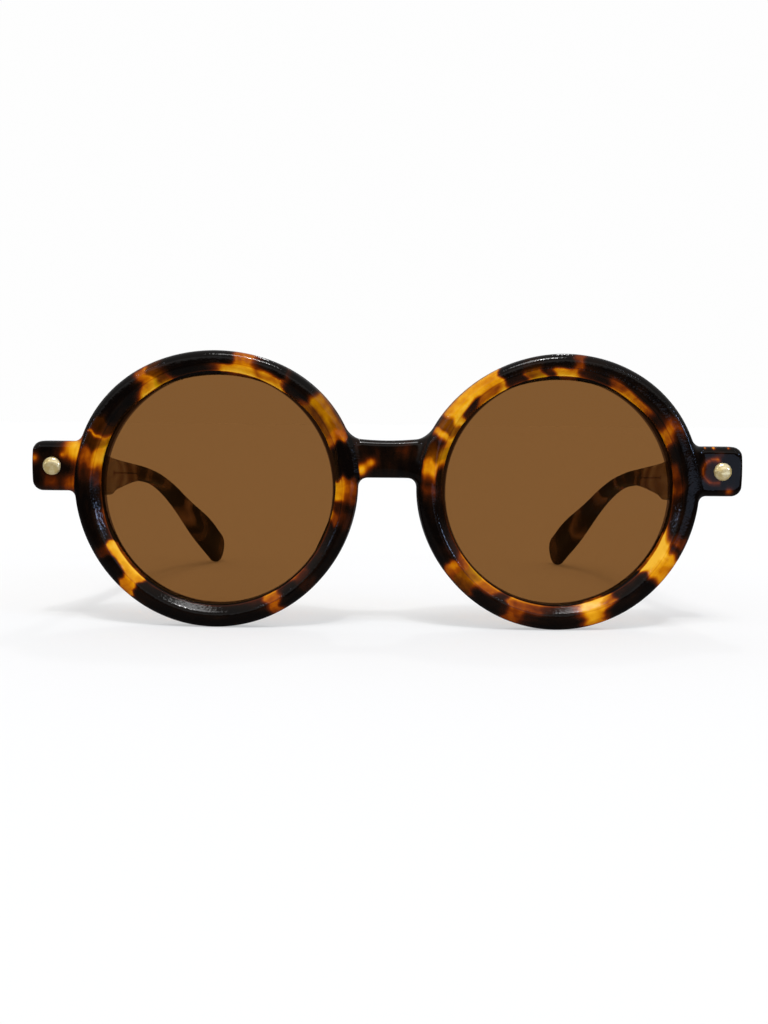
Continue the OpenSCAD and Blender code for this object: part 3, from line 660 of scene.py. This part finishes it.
# Ring of light round the right rivet's shank, which ends a little outside it
rivetRing = {
    "x": 66.6, "z": 32.5, "radius": 2.6, "width": 0.6, "change": -0.34, "inside": -0.17, "outwards": 1.7,
}
# Where one list of chips gives way to the next, in millimetres from the lens centre or the middle
chipEdges = {
    "bevelTop": 24.7, "bevelFade": 0.8, "outline": 28.2, "outlineFade": 0.6, "bridgeHalf": 15, "glowDeep": 3,
}
farAway = 9.0  # Kept where neither the face nor the wire has a say


def addValues(mesh, name, values):
    mesh.attributes.new(name, "FLOAT", "POINT").data.foreach_set("value", values)


def pointsInMm(mesh):
    flat = np.empty(len(mesh.vertices) * 3)
    mesh.vertices.foreach_get("co", flat)
    return (flat.reshape(-1, 3) / mm).T


def softSpot(x, z, atX, atZ, reach, change):
    return change * np.exp(-((x - atX) ** 2 + (z - atZ) ** 2) / reach ** 2)


def paintFront(mesh):
    # Where each point lies on its rim, and which chip it is in, kept as attributes for the acetate
    count = len(mesh.vertices)
    x, y, z = pointsInMm(mesh)
    fromPlane = y - frontSizes["planeY"]
    lx = abs(x) * wrapCos + fromPlane * wrapSin
    ly = fromPlane * wrapCos - abs(x) * wrapSin
    sign = np.sign(x)
    openX, openZ, openGrow = (np.where(sign > 0, frontSizes["rightOpen" + k], frontSizes["leftOpen" + k])
                              for k in ("X", "Z", "Grow"))
    across = (lx - frontSizes["lensCentre"] - openX) * sign
    up = z - frontSizes["rimCentreZ"] - openZ
    radius = np.hypot(across, up) - openGrow
    # Chips aren't cut square to the rim, so their ends wander.
    swing = 0.7 * np.sin(radius * 1.9 + across * 0.37) + 0.5 * np.sin(radius * 3.1 - up * 0.51)
    swing += (ly - 0.5) * 1.3 * np.sin(up * 0.21 + across * 0.13)
    clock = np.degrees(np.arctan2(across, up)) + swing
    wander = 0.3 * np.sin(clock * 0.19)
    onFlat = np.clip((radius - chipEdges["bevelTop"] + wander) / chipEdges["bevelFade"], 0, 1)
    tint = np.zeros(count)
    olive = np.zeros(count)
    for side in sides:
        here = sign == sides[side]
        face = np.interp(clock[here], *zip(*faceChips[side]), period=360)
        bevel = np.interp(clock[here], *zip(*bevelChips[side]), period=360)
        tint[here] = bevel + (face - bevel) * onFlat[here] + sideTints[side]
        for start, end in oliveArcs[side]:
            olive[here] += np.clip(1.5 * np.minimum(clock[here] - start, end - clock[here]), 0, 1)
    outside = np.clip((radius - chipEdges["outline"]) / chipEdges["outlineFade"], 0, 1)
    endTint = np.where(x < 0, otherTints["left"], otherTints["right"])
    beyond = np.where(abs(x) < chipEdges["bridgeHalf"], otherTints["bridge"], endTint)
    for chip in otherChips:
        beyond += softSpot(x, z, *chip)
    addValues(mesh, "chipTint", tint + (np.clip(beyond, 0.1, 1.1) - tint) * outside)
    addValues(mesh, "oliveShare", np.clip(olive, 0, 1) * (1 - outside))
    # Painted shadow of the left rivet's shank and painted light round the shanks, kept for the acetate's tint
    shift = np.zeros(count)
    for glow in rivetGlows:
        shift += softSpot(x, z, *glow)
    fromShank = np.hypot(x - rivetRing["x"], z - rivetRing["z"])
    lit = rivetRing["change"] * np.exp(-((fromShank - rivetRing["radius"]) / rivetRing["width"]) ** 2)
    lit += rivetRing["inside"] * (fromShank < rivetRing["radius"])
    shift += lit * np.clip((rivetRing["x"] + rivetRing["outwards"] - x) / 0.8, 0, 1)
    addValues(mesh, "tintShift", np.where(ly < chipEdges["glowDeep"], shift, 0))
    addValues(mesh, "fromFront", ly)
    addValues(mesh, "fromWire", np.full(count, farAway))
    middleRadius = frontSizes["rimRadius"] - frontSizes["rimWidth"] / 2
    angle = np.arctan2(across, up)
    turned = np.stack([np.sin(angle) * middleRadius, np.cos(angle) * middleRadius, radius], axis=1)
    layer = mesh.attributes.new("ringPlace", "FLOAT_VECTOR", "POINT")
    layer.data.foreach_set("vector", turned.ravel())


def makeFront():
    distance = distanceTree("frontDistance", frontSizes, frontLines)
    room = skinLook["room"]
    low = (frontBox[0].x / mm - room, frontBox[0].y / mm - skinLook["roomAhead"], -room)
    high = tuple(edge / mm + room for edge in frontBox[1])
    tree = solidTree("roundFront", frontSizes, distance, low, high, frontAcetate)
    piece = bakeTree("tortoiseshell_front", tree, frontSizes, frontAcetate)
    if signedVolume(piece.data) < 0:
        piece.data.flip_normals()
    middle, back = frontSizes["endMiddle"], frontSizes["endBack"]
    seatLow = (hingeLocalX - leafSeat["inwards"], back - leafSeat["deep"], middle - leafSeat["half"])
    seatHigh = (frontSizes["endX"] - leafSeat["fromEnd"], back + leafSeat["clear"], middle + leafSeat["half"])
    cutAway(piece, [
        boxCutter(seatLow, seatHigh, sideMatrix(sign, 0, frontSizes["planeY"], frontSizes["wrapAngle"]))
        for sign in sides.values()])
    paintFront(piece.data)
    piece.data.set_sharp_from_angle(angle=math.radians(40))
    return piece


front = makeFront()
print("front made:", len(front.data.polygons), "faces")
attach(front, "front")
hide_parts("front_frame")
weldMm = 0.001  # Points closer than this are made one.


def shapedTree(name, sizes, lines, counts, material):
    # A tree that turns a unit cylinder into a piece by written formulas for gx, gy and gz in millimetres. The
    # counts are its points around, its steps along and the rings on each end.
    around, along, rings = counts
    tree, given, out = newTree(name, sizes)
    blank = addNode(tree, "GeometryNodeMeshCylinder", {
        "Vertices": around, "Side Segments": along, "Fill Segments": rings, "Radius": 1.0, "Depth": 1.0,
    }, fill_type="TRIANGLE_FAN")
    split = addNode(tree, "ShaderNodeSeparateXYZ", {0: addNode(tree, "GeometryNodeInputPosition").outputs[0]})
    known = knownSizes(given, sizes)
    known.update(zip(("cx", "cy", "ct"), split.outputs))
    writeFormulas(tree, lines, known)
    inMetres = [addNode(tree, "ShaderNodeMath", {0: known[n], 1: mm}, operation="MULTIPLY").outputs[0]
                for n in ("gx", "gy", "gz")]
    place = addNode(tree, "ShaderNodeCombineXYZ", dict(enumerate(inMetres)))
    shaped = addNode(tree, "GeometryNodeSetPosition", {
        "Geometry": blank.outputs[0], "Position": place.outputs[0]})
    merged = addNode(tree, "GeometryNodeMergeByDistance", {
        "Geometry": shaped.outputs[0], "Distance": weldMm * mm})
    smooth = addNode(tree, "GeometryNodeSetShadeSmooth", {"Geometry": merged.outputs[0]})
    real = addNode(tree, "GeometryNodeRealizeInstances", {"Geometry": smooth.outputs[0]})
    painted = addNode(tree, "GeometryNodeSetMaterial", {"Geometry": real.outputs[0], "Material": material})
    tree.links.new(painted.outputs[0], out.inputs[0])
    return tree


def bakePair(pieceName, cadNode, sizes, lines, counts, material, body, sharpDegrees=35, cutters=None):
    # One piece for each side, each on its own body
    tree = shapedTree(cadNode + "_shape", sizes, lines, counts, material)
    made = {}
    for side, sign in sides.items():
        piece = bakeTree(f"{pieceName}_{side}", tree, {**sizes, "side": sign}, material)
        faceOutwards(piece.data)
        if cutters:
            cutAway(piece, cutters(sign))
        piece.data.set_sharp_from_angle(angle=math.radians(sharpDegrees))
        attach(piece, body.format(side))
        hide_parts(f"{cadNode}_{side}")
        made[side] = piece
    return made


# The place in the shared frame of a point that is known in the front's own frame
ontoFront = [
    ("gx", "side * (lx * cos(wrapAngle) - ly * sin(wrapAngle))"),
    ("gy", "lx * sin(wrapAngle) + ly * cos(wrapAngle) + planeY"),
    ("gz", "lz"),
]

lensSizes = {
    **{k: frontSizes[k] for k in (
        "wrapAngle", "planeY", "lensCentre", "rimCentreZ", "outlineLift", "outlineWidth", "outlinePanto",
        "outlineSquare")},
    **openingSizes, "side": 1, "lensRadius": 23.95, "lensCurve": 175.0, "lensEdge": 2.6, "lensThick": 1.8,
}
lensLines = [
    ("u", "cx"),
    ("v", "cy"),
    *outlineLines,
    ("which", "side"),
    *openingLines,
    ("out", "lensRadius + swell + openGrow"),
    ("r", "rho * out"),
    ("lx", "lensCentre + openX + cx * out"),
    ("ly", "lensEdge - (lensRadius ** 2 - r * r) / (2 * lensCurve) + (ct + 0.5) * lensThick"),
    ("lz", "rimCentreZ + openZ + cy * out"),
    *ontoFront,
]
lenses = bakePair("brown_lens", "lens", lensSizes, lensLines, (160, 2, 16), lensTint, "front")
for lens in lenses.values():
    paintFront(lens.data)
print("lenses made")

# The temple's own frame: ty back along its inner face from the hinge axis, tx outwards
templeSizes = {
    "side": 1, "hingeX": hingeAt["right"].x, "hingeY": hingeAt["right"].y, "toeIn": math.radians(3.9),
    "mitreTurn": math.radians(0.9), "frontEnd": -1.8, "topZ": 36.6, "fallAngle": math.radians(5.7),
    "tipAngle": math.radians(31), "bendStart": 69.0, "bendRadius": 66.0, "tipAt": 126.69,
    "frontHigh": 9.0, "waistHigh": 3.9, "tipHigh": 6.4, "frontThick": 6.0, "barThick": 3.8, "thickEnd": 22.0,
    "stepStart": 26.0, "stepEnd": 59.0, "faceAt": 1.95, "planStart": 65.0, "planLong": 28.0,
    "tipTurn": math.radians(11.1), "squareness": 5.0, "tipSoftness": 2.4, "tipTrim": 0.55, "capLead": 1.7,
    "capReach": 1.15,
}
# The bar at the distance u back along its top edge
barLines = [
    ("bendLong", "bendRadius * (tipAngle - fallAngle)"),
    ("u1", "min(u, bendStart)"),
    ("u2", "min(max(u - bendStart, 0), bendLong)"),
    ("u3", "max(u - bendStart - bendLong, 0)"),
    ("a", "fallAngle + u2 / bendRadius"),
    ("topY", "u1 * cos(fallAngle) + bendRadius * (sin(a) - sin(fallAngle)) + u3 * cos(tipAngle)"),
    ("topHere", "topZ - u1 * sin(fallAngle) - bendRadius * (cos(fallAngle) - cos(a)) - u3 * sin(tipAngle)"),
    # The front part narrows to the waist in a hollow curve, steepest at its start.
    ("step", "min(max((u - stepStart) / (stepEnd - stepStart), 0), 1)"),
    ("hollow", "(1 - (1 - step) ** 2) * rise(u, stepStart, stepStart + 4)"),
    ("high", "frontHigh + (waistHigh - frontHigh) * hollow"
             " + (tipHigh - waistHigh) * rise(u, bendStart, tipAt)"),
    # By distance back: both edges lie a little lower than the plain bar's, the arm narrows at the bend and
    # the paddle is fuller.
    ("topDrop", "0.1 + 0.75 * rise(u, 5, 35) + 1.1 * rise(u, 55, 84) - 3.5 * rise(u, 91, 121)"),
    ("lowDrop", "0.05 + 0.75 * rise(u, 20, 40) - 0.45 * rise(u, 42, 66) + 0.45 * rise(u, 98, 114)"
                " - 0.15 * rise(u, 116, 129)"),
]
# Distance from the middle of the section, and direction
sectionLines = [
    ("rho", "sqrt(cx * cx + cy * cy)"),
    ("dx", "cx / (rho + 0.00001)"),
    ("dy", "cy / (rho + 0.00001)"),
]
# The inner face is straight and then curves in towards the head.
innerLines = [
    ("q1", "min(max(ty - planStart, 0), planLong)"),
    ("q2", "max(ty - planStart - planLong, 0)"),
    ("inner", "faceAt - sin(tipTurn) / cos(tipTurn) * (q1 * q1 / (2 * planLong) + q2)"),
]
templeLines = [
    ("s", "ct + 0.5"),
    ("u", "frontEnd + (tipAt + tipHigh / 2 - tipTrim - frontEnd) * (1 - (1 - s) ** 1.6)"),
    *barLines,
    ("k3", "min(max((u - tipAt + capLead) / (tipHigh / 2 + capReach), 0), 1)"),
    ("cap", "max(1 - k3 ** 2.1, 0) ** 0.5"),
    # A rounded bar's section: flat sides at the hinge, softer towards the tip
    *sectionLines,
    ("power", "squareness + 5 * max(1 - u / 30, 0) - tipSoftness * rise(u, 100, 124)"),
    ("reach", "rho / (abs(dx) ** power + abs(dy) ** power + 0.00001) ** (1 / power)"),
    ("down", "(high + lowDrop + topDrop) / 2 - dy * reach * (high + lowDrop - topDrop) / 2 * cap"),
    ("ty", "topY - down * sin(a)"),
    *innerLines,
    ("thick", "frontThick + (barThick - frontThick) * rise(ty, 0, thickEnd)"),
    ("soften", "rise(u, 108, 126)"),
    ("tx", "inner + thick / 2 + dx * reach * thick / 2 * cap * (1 - 0.12 * soften)"),
    ("cutY", "ty - tx * sin(mitreTurn) * max(1 - u / 10, 0)"),
    ("gx", "side * (hingeX + tx * cos(toeIn) - cutY * sin(toeIn))"),
    ("gy", "hingeY + tx * sin(toeIn) + cutY * cos(toeIn)"),
    ("gz", "topHere - down * cos(a)"),
]
leafPocket = {"deep": 1.0, "clear": 1.0, "ahead": 3.0, "back": 16.05, "half": 2.05}


def templeCutters(sign):
    # The pocket of the temple's hinge leaf, in its inner face
    middle, face = hingeAt["right"].z, templeSizes["faceAt"]
    low = (face - leafPocket["clear"], -leafPocket["ahead"], middle - leafPocket["half"])
    high = (face + leafPocket["deep"], leafPocket["back"], middle + leafPocket["half"])
    place = sideMatrix(sign, hingeAt["right"].x, hingeAt["right"].y, templeSizes["toeIn"])
    return [boxCutter(low, high, place)]


temples = bakePair("temple_arm", "temple", templeSizes, templeLines, (64, 260, 6), templeAcetate,
                   "{}_temple", cutters=templeCutters)
# Where the core wire shows through the clear stock: distance back along the temple, and height
wireRun = {"along": (25.8, 47.5), "height": (29.8, 28.75), "dot": 0.5, "dotSpread": 0.35, "deep": 1.0}
# Depth of tint of the chips along each temple, in millimetres back from the hinge
templeChips = {
    "left": [
        (18, 0.3), (24, 0.34), (31, 0.26), (35, 0.48), (38, 0.34), (42, 0.56), (46, 0.52), (49, 0.36),
        (52, 0.62), (56, 0.76), (59, 0.7), (62, 0.5), (65, 0.54), (69, 0.78), (74, 0.82), (78, 0.54),
        (82, 0.6), (86, 0.9), (92, 1.02), (95, 0.62), (98, 0.45), (100, 0.55), (103, 0.96), (106, 0.6),
        (109, 0.62), (112, 0.95), (117, 0.84), (121, 0.6), (126, 0.68),
    ],
    "right": [
        (18, 0.3), (26, 0.3), (32, 0.46), (37, 0.3), (41, 0.58), (45, 0.38), (49, 0.7), (53, 0.48),
        (57, 0.8), (61, 0.88), (64, 0.56), (68, 0.86), (73, 0.5), (77, 0.96), (83, 1.02), (87, 0.48),
        (91, 0.58), (96, 0.98), (101, 0.64), (105, 0.48), (109, 0.9), (114, 0.94), (119, 0.62), (124, 0.68),
    ],
}
# How the chips of the two faces slant and wander, and where one face gives way to the other
templePaint = {
    "lead": 3.2, "wander": 1.3, "darkerFrom": 52, "darker": 0.05, "slant": 0.9, "slantAbout": 32,
    "outerFrom": 0.9, "outerFade": 1.3,
}
# Chips on the outer face, which the photograph doesn't show
outerChips = [
    (-16, 0.5), (-11, 0.9), (-6, 0.94), (-3, 0.4), (3, 0.3), (6, 0.86), (12, 0.95), (15, 0.5), (19, 0.3),
    (22, 0.24), (25, 0.6), (29, 0.92), (33, 0.88), (36, 0.44), (41, 0.34), (45, 0.8), (52, 0.96), (56, 0.6),
    (59, 0.36), (64, 0.84), (71, 0.97), (75, 0.56), (79, 0.4), (83, 0.86), (92, 0.98), (96, 0.6),
    (99, 0.44), (103, 0.9), (112, 0.97), (115, 0.6), (119, 0.5), (123, 0.9),
]


def paintTemple(mesh, side):
    # Which chip each point lies in, and its height over the core wire, kept as attributes for the acetate
    x, y, z = pointsInMm(mesh)
    away = x * sides[side] - templeSizes["hingeX"]
    back = y - templeSizes["hingeY"]
    turn = templeSizes["toeIn"]
    along = back * math.cos(turn) - away * math.sin(turn)
    inner = away * math.cos(turn) + back * math.sin(turn) - templeSizes["faceAt"]
    swing = templePaint["lead"] + templePaint["wander"] * np.sin(z * 0.8 + along * 0.2)
    tint = np.interp(along + swing, *zip(*templeChips[side]))
    tint += templePaint["darker"] * (along > templePaint["darkerFrom"])
    slanted = along - 2 * swing + templePaint["slant"] * (z - templePaint["slantAbout"])
    outer = np.interp(slanted, *zip(*outerChips))
    # The inner faces are paler, and the outer ones as warm as the front.
    outerShare = np.clip((inner - templePaint["outerFrom"]) / templePaint["outerFade"], 0, 1)
    addValues(mesh, "outerShare", outerShare)
    addValues(mesh, "chipTint", tint + (outer - tint) * outerShare)
    start, end = wireRun["along"]
    overWire = z - np.interp(along, wireRun["along"], wireRun["height"])
    overWire *= np.where(abs(along - start) < wireRun["dot"], wireRun["dotSpread"], 1)
    seen = (inner < wireRun["deep"]) & (along > start - wireRun["dot"]) & (along < end)
    addValues(mesh, "fromWire", np.where(seen, overWire, farAway))
    addValues(mesh, "fromFront", np.full(len(x), farAway))


for side, piece in temples.items():
    paintTemple(piece.data, side)

wireSizes = {
    **templeSizes, "wireStart": 28.0, "wireEnd": 123.4, "wireHigh": 1.3, "wireWide": 1.0, "wireIn": 1.95,
}
wireLines = [
    ("u", "wireStart + (wireEnd - wireStart) * (ct + 0.5)"),
    *barLines,
    *sectionLines,
    ("reach", "rho / (abs(dx) ** 6 + abs(dy) ** 6 + 0.00001) ** 0.16667"),
    # The wire keeps to the middle of the bar, and above it where the bar is deep.
    ("deep", "min(max((high - waistHigh) / (frontHigh - waistHigh), 0), 1)"),
    ("middle", "topDrop + (high + lowDrop - topDrop) * (0.5 - 0.12 * deep)"),
    ("down", "middle - dy * reach * wireHigh / 2"),
    ("ty", "topY - down * sin(a)"),
    *innerLines,
    ("tx", "inner + wireIn + dx * reach * wireWide / 2"),
    ("gx", "side * (hingeX + tx * cos(toeIn) - ty * sin(toeIn))"),
    ("gy", "hingeY + tx * sin(toeIn) + ty * cos(toeIn)"),
    ("gz", "topHere - down * cos(a)"),
]
bakePair("flat_core_wire", "core_wire", wireSizes, wireLines, (24, 90, 2), wireSteel,
         "{}_temple")
print("temples made")

padSizes = {
    **{k: frontSizes[k] for k in ("wrapAngle", "planeY", "lensCentre", "rimCentreZ", "rimDepth")},
    "side": 1, "padAngle": math.radians(24), "padRadius": 25.7, "padHalf": 7.0, "padWide": 2.1,
    "padHigh": 4.5, "padSunk": 0.1,
}
padLines = [
    ("s", "2 * ct"),
    ("cap", "sqrt(max(1 - abs(s) ** 2.5, 0))"),
    ("turn", "padAngle + s * padHalf / padRadius"),
    ("radius", "padRadius + cx * padWide * cap"),
    ("lx", "lensCentre - radius * cos(turn)"),
    ("lz", "rimCentreZ - radius * sin(turn)"),
    ("ly", "rimDepth - padSunk + max(cy, 0) ** 0.8 * padHigh * cap ** 1.3"),
    *ontoFront,
]
pads = bakePair("nose_pad_drop", "nose_pad", padSizes, padLines, (48, 40, 3), frontAcetate,
                "front", sharpDegrees=60)
for pad in pads.values():
    paintFront(pad.data)

# A rivet in the front's own frame: a shank with a low dome on the face of the end piece
rivetFromEnd = 4.35
rivetSizes = {
    **{k: frontSizes[k] for k in ("wrapAngle", "planeY", "endFront", "endMiddle")},
    "side": 1, "rivetX": frontSizes["endX"] - rivetFromEnd, "headRadius": 1.85, "headHigh": 0.8,
    "shankRadius": 0.9, "shankLong": 5.0, "shankShare": 0.6,
}
rivetLines = [
    ("s", "ct + 0.5"),
    ("rho", "sqrt(cx * cx + cy * cy)"),
    ("onHead", "above(s, 0.99)"),
    ("spread", "rho + onHead * (sin(rho * 1.5708) - rho)"),
    ("stem", "shankRadius + (headRadius - shankRadius) * above(s, shankShare)"),
    ("out", "spread / (rho + 0.00001) * stem"),
    ("dome", "onHead * headHigh * max(1 - spread ** 3, 0) ** 0.5"),
    ("lx", "rivetX + cx * out"),
    ("lz", "endMiddle + cy * out"),
    ("ly", "endFront + shankLong * (1 - min(s / shankShare, 1)) - dome"),
    *ontoFront,
]
bakePair("domed_rivet", "front_rivet", rivetSizes, rivetLines, (64, 10, 12), paleGold,
         "front", sharpDegrees=50)
print("rivets made")

# The hinges' leaves and screws keep the CAD's shape.
for name, node in frame["nodes"].items():
    if "hinge" in name or "screw" in name:
        node.data.materials.clear()
        node.data.materials.append(hingeMetal)

# The camera stands in front, a little above, and looks down by four degrees.
cameraView = {
    "x": 0.19, "back": 280.0, "z": 43.3, "yaw": -0.148, "pitch": -3.948, "roll": 0.512, "lens": 49.25,
    "sensor": 36.0, "nearest": 0.01,
}


def makeCamera():
    yaw, pitch, roll = (math.radians(cameraView[k]) for k in ("yaw", "pitch", "roll"))
    ahead = Vector((math.sin(yaw) * math.cos(pitch), math.cos(yaw) * math.cos(pitch), math.sin(pitch)))
    level = Vector((math.cos(yaw), -math.sin(yaw), 0))
    above = level.cross(ahead)
    right = level * math.cos(roll) + above * math.sin(roll)
    up = above * math.cos(roll) - level * math.sin(roll)
    data = bpy.data.cameras.new("camera")
    data.lens = cameraView["lens"]
    data.sensor_width = cameraView["sensor"]
    data.clip_start = cameraView["nearest"]
    camera = bpy.data.objects.new("camera", data)
    bpy.context.scene.collection.objects.link(camera)
    turn = Matrix((right, up, -ahead)).transposed()
    place = Vector((cameraView["x"], frontSizes["planeY"] - cameraView["back"], cameraView["z"])) * mm
    camera.matrix_world = Matrix.Translation(place) @ turn.to_4x4()
    bpy.context.scene.camera = camera


makeCamera()

stageLook = {
    "floorHalf": 6.0, "floorLevel": 0.808, "floorGlow": 0.44, "nearGloss": 0.16, "farGloss": 0.03,
    "glossNear": 0.1, "glossFar": 0.22, "blueWall": 1.12, "wallRed": 0.36, "wallGreen": 0.24,
    "wallAhead": 0.25, "wallFrom": 0.26, "wallTo": 0.33,
    "skySeen": 0.989, "skyLight": 0.7, "skyLow": 0.04, "skyHigh": 0.5, "boxLight": 0.7,
}


def knownRays(tree):
    # The kinds of ray that a stage material tells apart, beside the stage's own values
    rays = addNode(tree, "ShaderNodeLightPath")
    kinds = {"camera": "Is Camera Ray", "glossy": "Is Glossy Ray", "through": "Is Transmission Ray"}
    return {**stageLook, **{name: rays.outputs[kind] for name, kind in kinds.items()}}


def makeFloor():
    mesh = bpy.data.meshes.new("floor")
    half = stageLook["floorHalf"]
    corners = [(-half, -half, 0), (half, -half, 0), (half, half, 0), (-half, half, 0)]
    mesh.from_pydata(corners, [], [(0, 1, 2, 3)])
    material = bpy.data.materials.new("paleFloor")
    tree = clearedTree(material)
    place = addNode(tree, "ShaderNodeTexCoord")
    away = addNode(tree, "ShaderNodeVectorMath", {0: place.outputs["Object"]}, operation="LENGTH")
    split = addNode(tree, "ShaderNodeSeparateXYZ", {0: place.outputs["Object"]})
    known = {
        **knownRays(tree), "away": away.outputs["Value"], "px": split.outputs[0], "py": split.outputs[1],
    }
    writeFormulas(tree, [
        ("seen", "max(camera, through)"),
        ("mirrored", "glossy * (1 - seen)"),
        # A blue-grey wall at the front right shows in the glossy faces that look that way.
        ("wall", "blueWall * rise(px / max(0.05 - py, 0.05), wallFrom, wallTo) * above(-wallAhead, py)"),
        ("share", "nearGloss + (farGloss - nearGloss) * rise(away, glossNear, glossFar) + wall"),
        ("level", "floorLevel * (1 - mirrored * (1 - share)) * (1 - seen * floorGlow)"),
        ("glow", "seen * floorGlow * skySeen"),
        ("red", "level * (1 - wallRed * wall * mirrored)"),
        ("green", "level * (1 - wallGreen * wall * mirrored)"),
    ], known)
    colour = addNode(tree, "ShaderNodeCombineColor", {0: known["red"], 1: known["green"], 2: known["level"]})
    matt = addNode(tree, "ShaderNodeBsdfDiffuse", {"Color": colour.outputs[0]})
    glow = addNode(tree, "ShaderNodeEmission", {"Strength": known["glow"]})
    both = addNode(tree, "ShaderNodeAddShader", {0: matt.outputs[0], 1: glow.outputs[0]})
    addNode(tree, "ShaderNodeOutputMaterial", {"Surface": both.outputs[0]})
    mesh.materials.append(material)
    floor = bpy.data.objects.new("floor", mesh)
    bpy.context.scene.collection.objects.link(floor)


def makeSky():
    world = bpy.data.worlds.new("studio")
    bpy.context.scene.world = world
    tree = clearedTree(world)
    place = addNode(tree, "ShaderNodeTexCoord")
    split = addNode(tree, "ShaderNodeSeparateXYZ", {0: place.outputs["Generated"]})
    known = {**knownRays(tree), "py": split.outputs[1], "up": split.outputs[2]}
    writeFormulas(tree, [
        ("seen", "max(camera, through)"),
        # A soft box over the camera, which shows in the rivets and along the rounded edges
        ("box", "rise(up, 0.1, 0.2) * (1 - rise(up, 0.34, 0.46)) * rise(0 - py, 0.6, 0.85)"),
        ("reflected", "skyLow + (skyHigh - skyLow) * rise(up, 0.12, 0.5) + boxLight * box"),
        ("strength", "seen * skySeen + (1 - seen) * (glossy * reflected + (1 - glossy) * skyLight)"),
    ], known)
    glow = addNode(tree, "ShaderNodeBackground", {"Color": (1, 1, 1, 1), "Strength": known["strength"]})
    addNode(tree, "ShaderNodeOutputWorld", {"Surface": glow.outputs[0]})


# Distant lamps, which light the floor evenly: bearing, height and spread in degrees, strength, and the
# tint of those that aren't white
lamps = {
    "keyAbove": {"bearing": 180, "height": 62, "spread": 22, "strength": 1.16},
    "spark": {"bearing": 172, "height": 57, "spread": 3, "strength": 0.5},
    "backTop": {"bearing": 12, "height": 52, "spread": 4, "strength": 0.22},
    "leftLow": {"bearing": 214, "height": 30, "spread": 2.5, "strength": 0.05, "tint": "dfe9ff"},
    "rightLow": {"bearing": 143, "height": 34, "spread": 2.5, "strength": 0.05, "tint": "dfe9ff"},
    "leftStrip": {"bearing": 235, "height": 12, "spread": 5, "strength": 0.11, "tint": "b4c8ee"},
    "rightStrip": {"bearing": 125, "height": 14, "spread": 9, "strength": 0.6, "tint": "a9c3f2"},
}


def makeLamps():
    for name, lamp in lamps.items():
        data = bpy.data.lights.new(name, "SUN")
        data.angle = math.radians(lamp["spread"])
        data.energy = lamp["strength"]
        data.color = srgb(lamp.get("tint", "ffffff"))[:3]
        holder = bpy.data.objects.new(name, data)
        bpy.context.scene.collection.objects.link(holder)
        bearing, height = math.radians(lamp["bearing"]), math.radians(lamp["height"])
        towards = Vector((math.sin(bearing) * math.cos(height), math.cos(bearing) * math.cos(height),
                          math.sin(height)))
        holder.matrix_world = (-towards).to_track_quat("-Z", "Y").to_matrix().to_4x4()


makeFloor()
makeSky()
makeLamps()
bpy.context.scene.view_settings.view_transform = "Standard"
print("stage made")
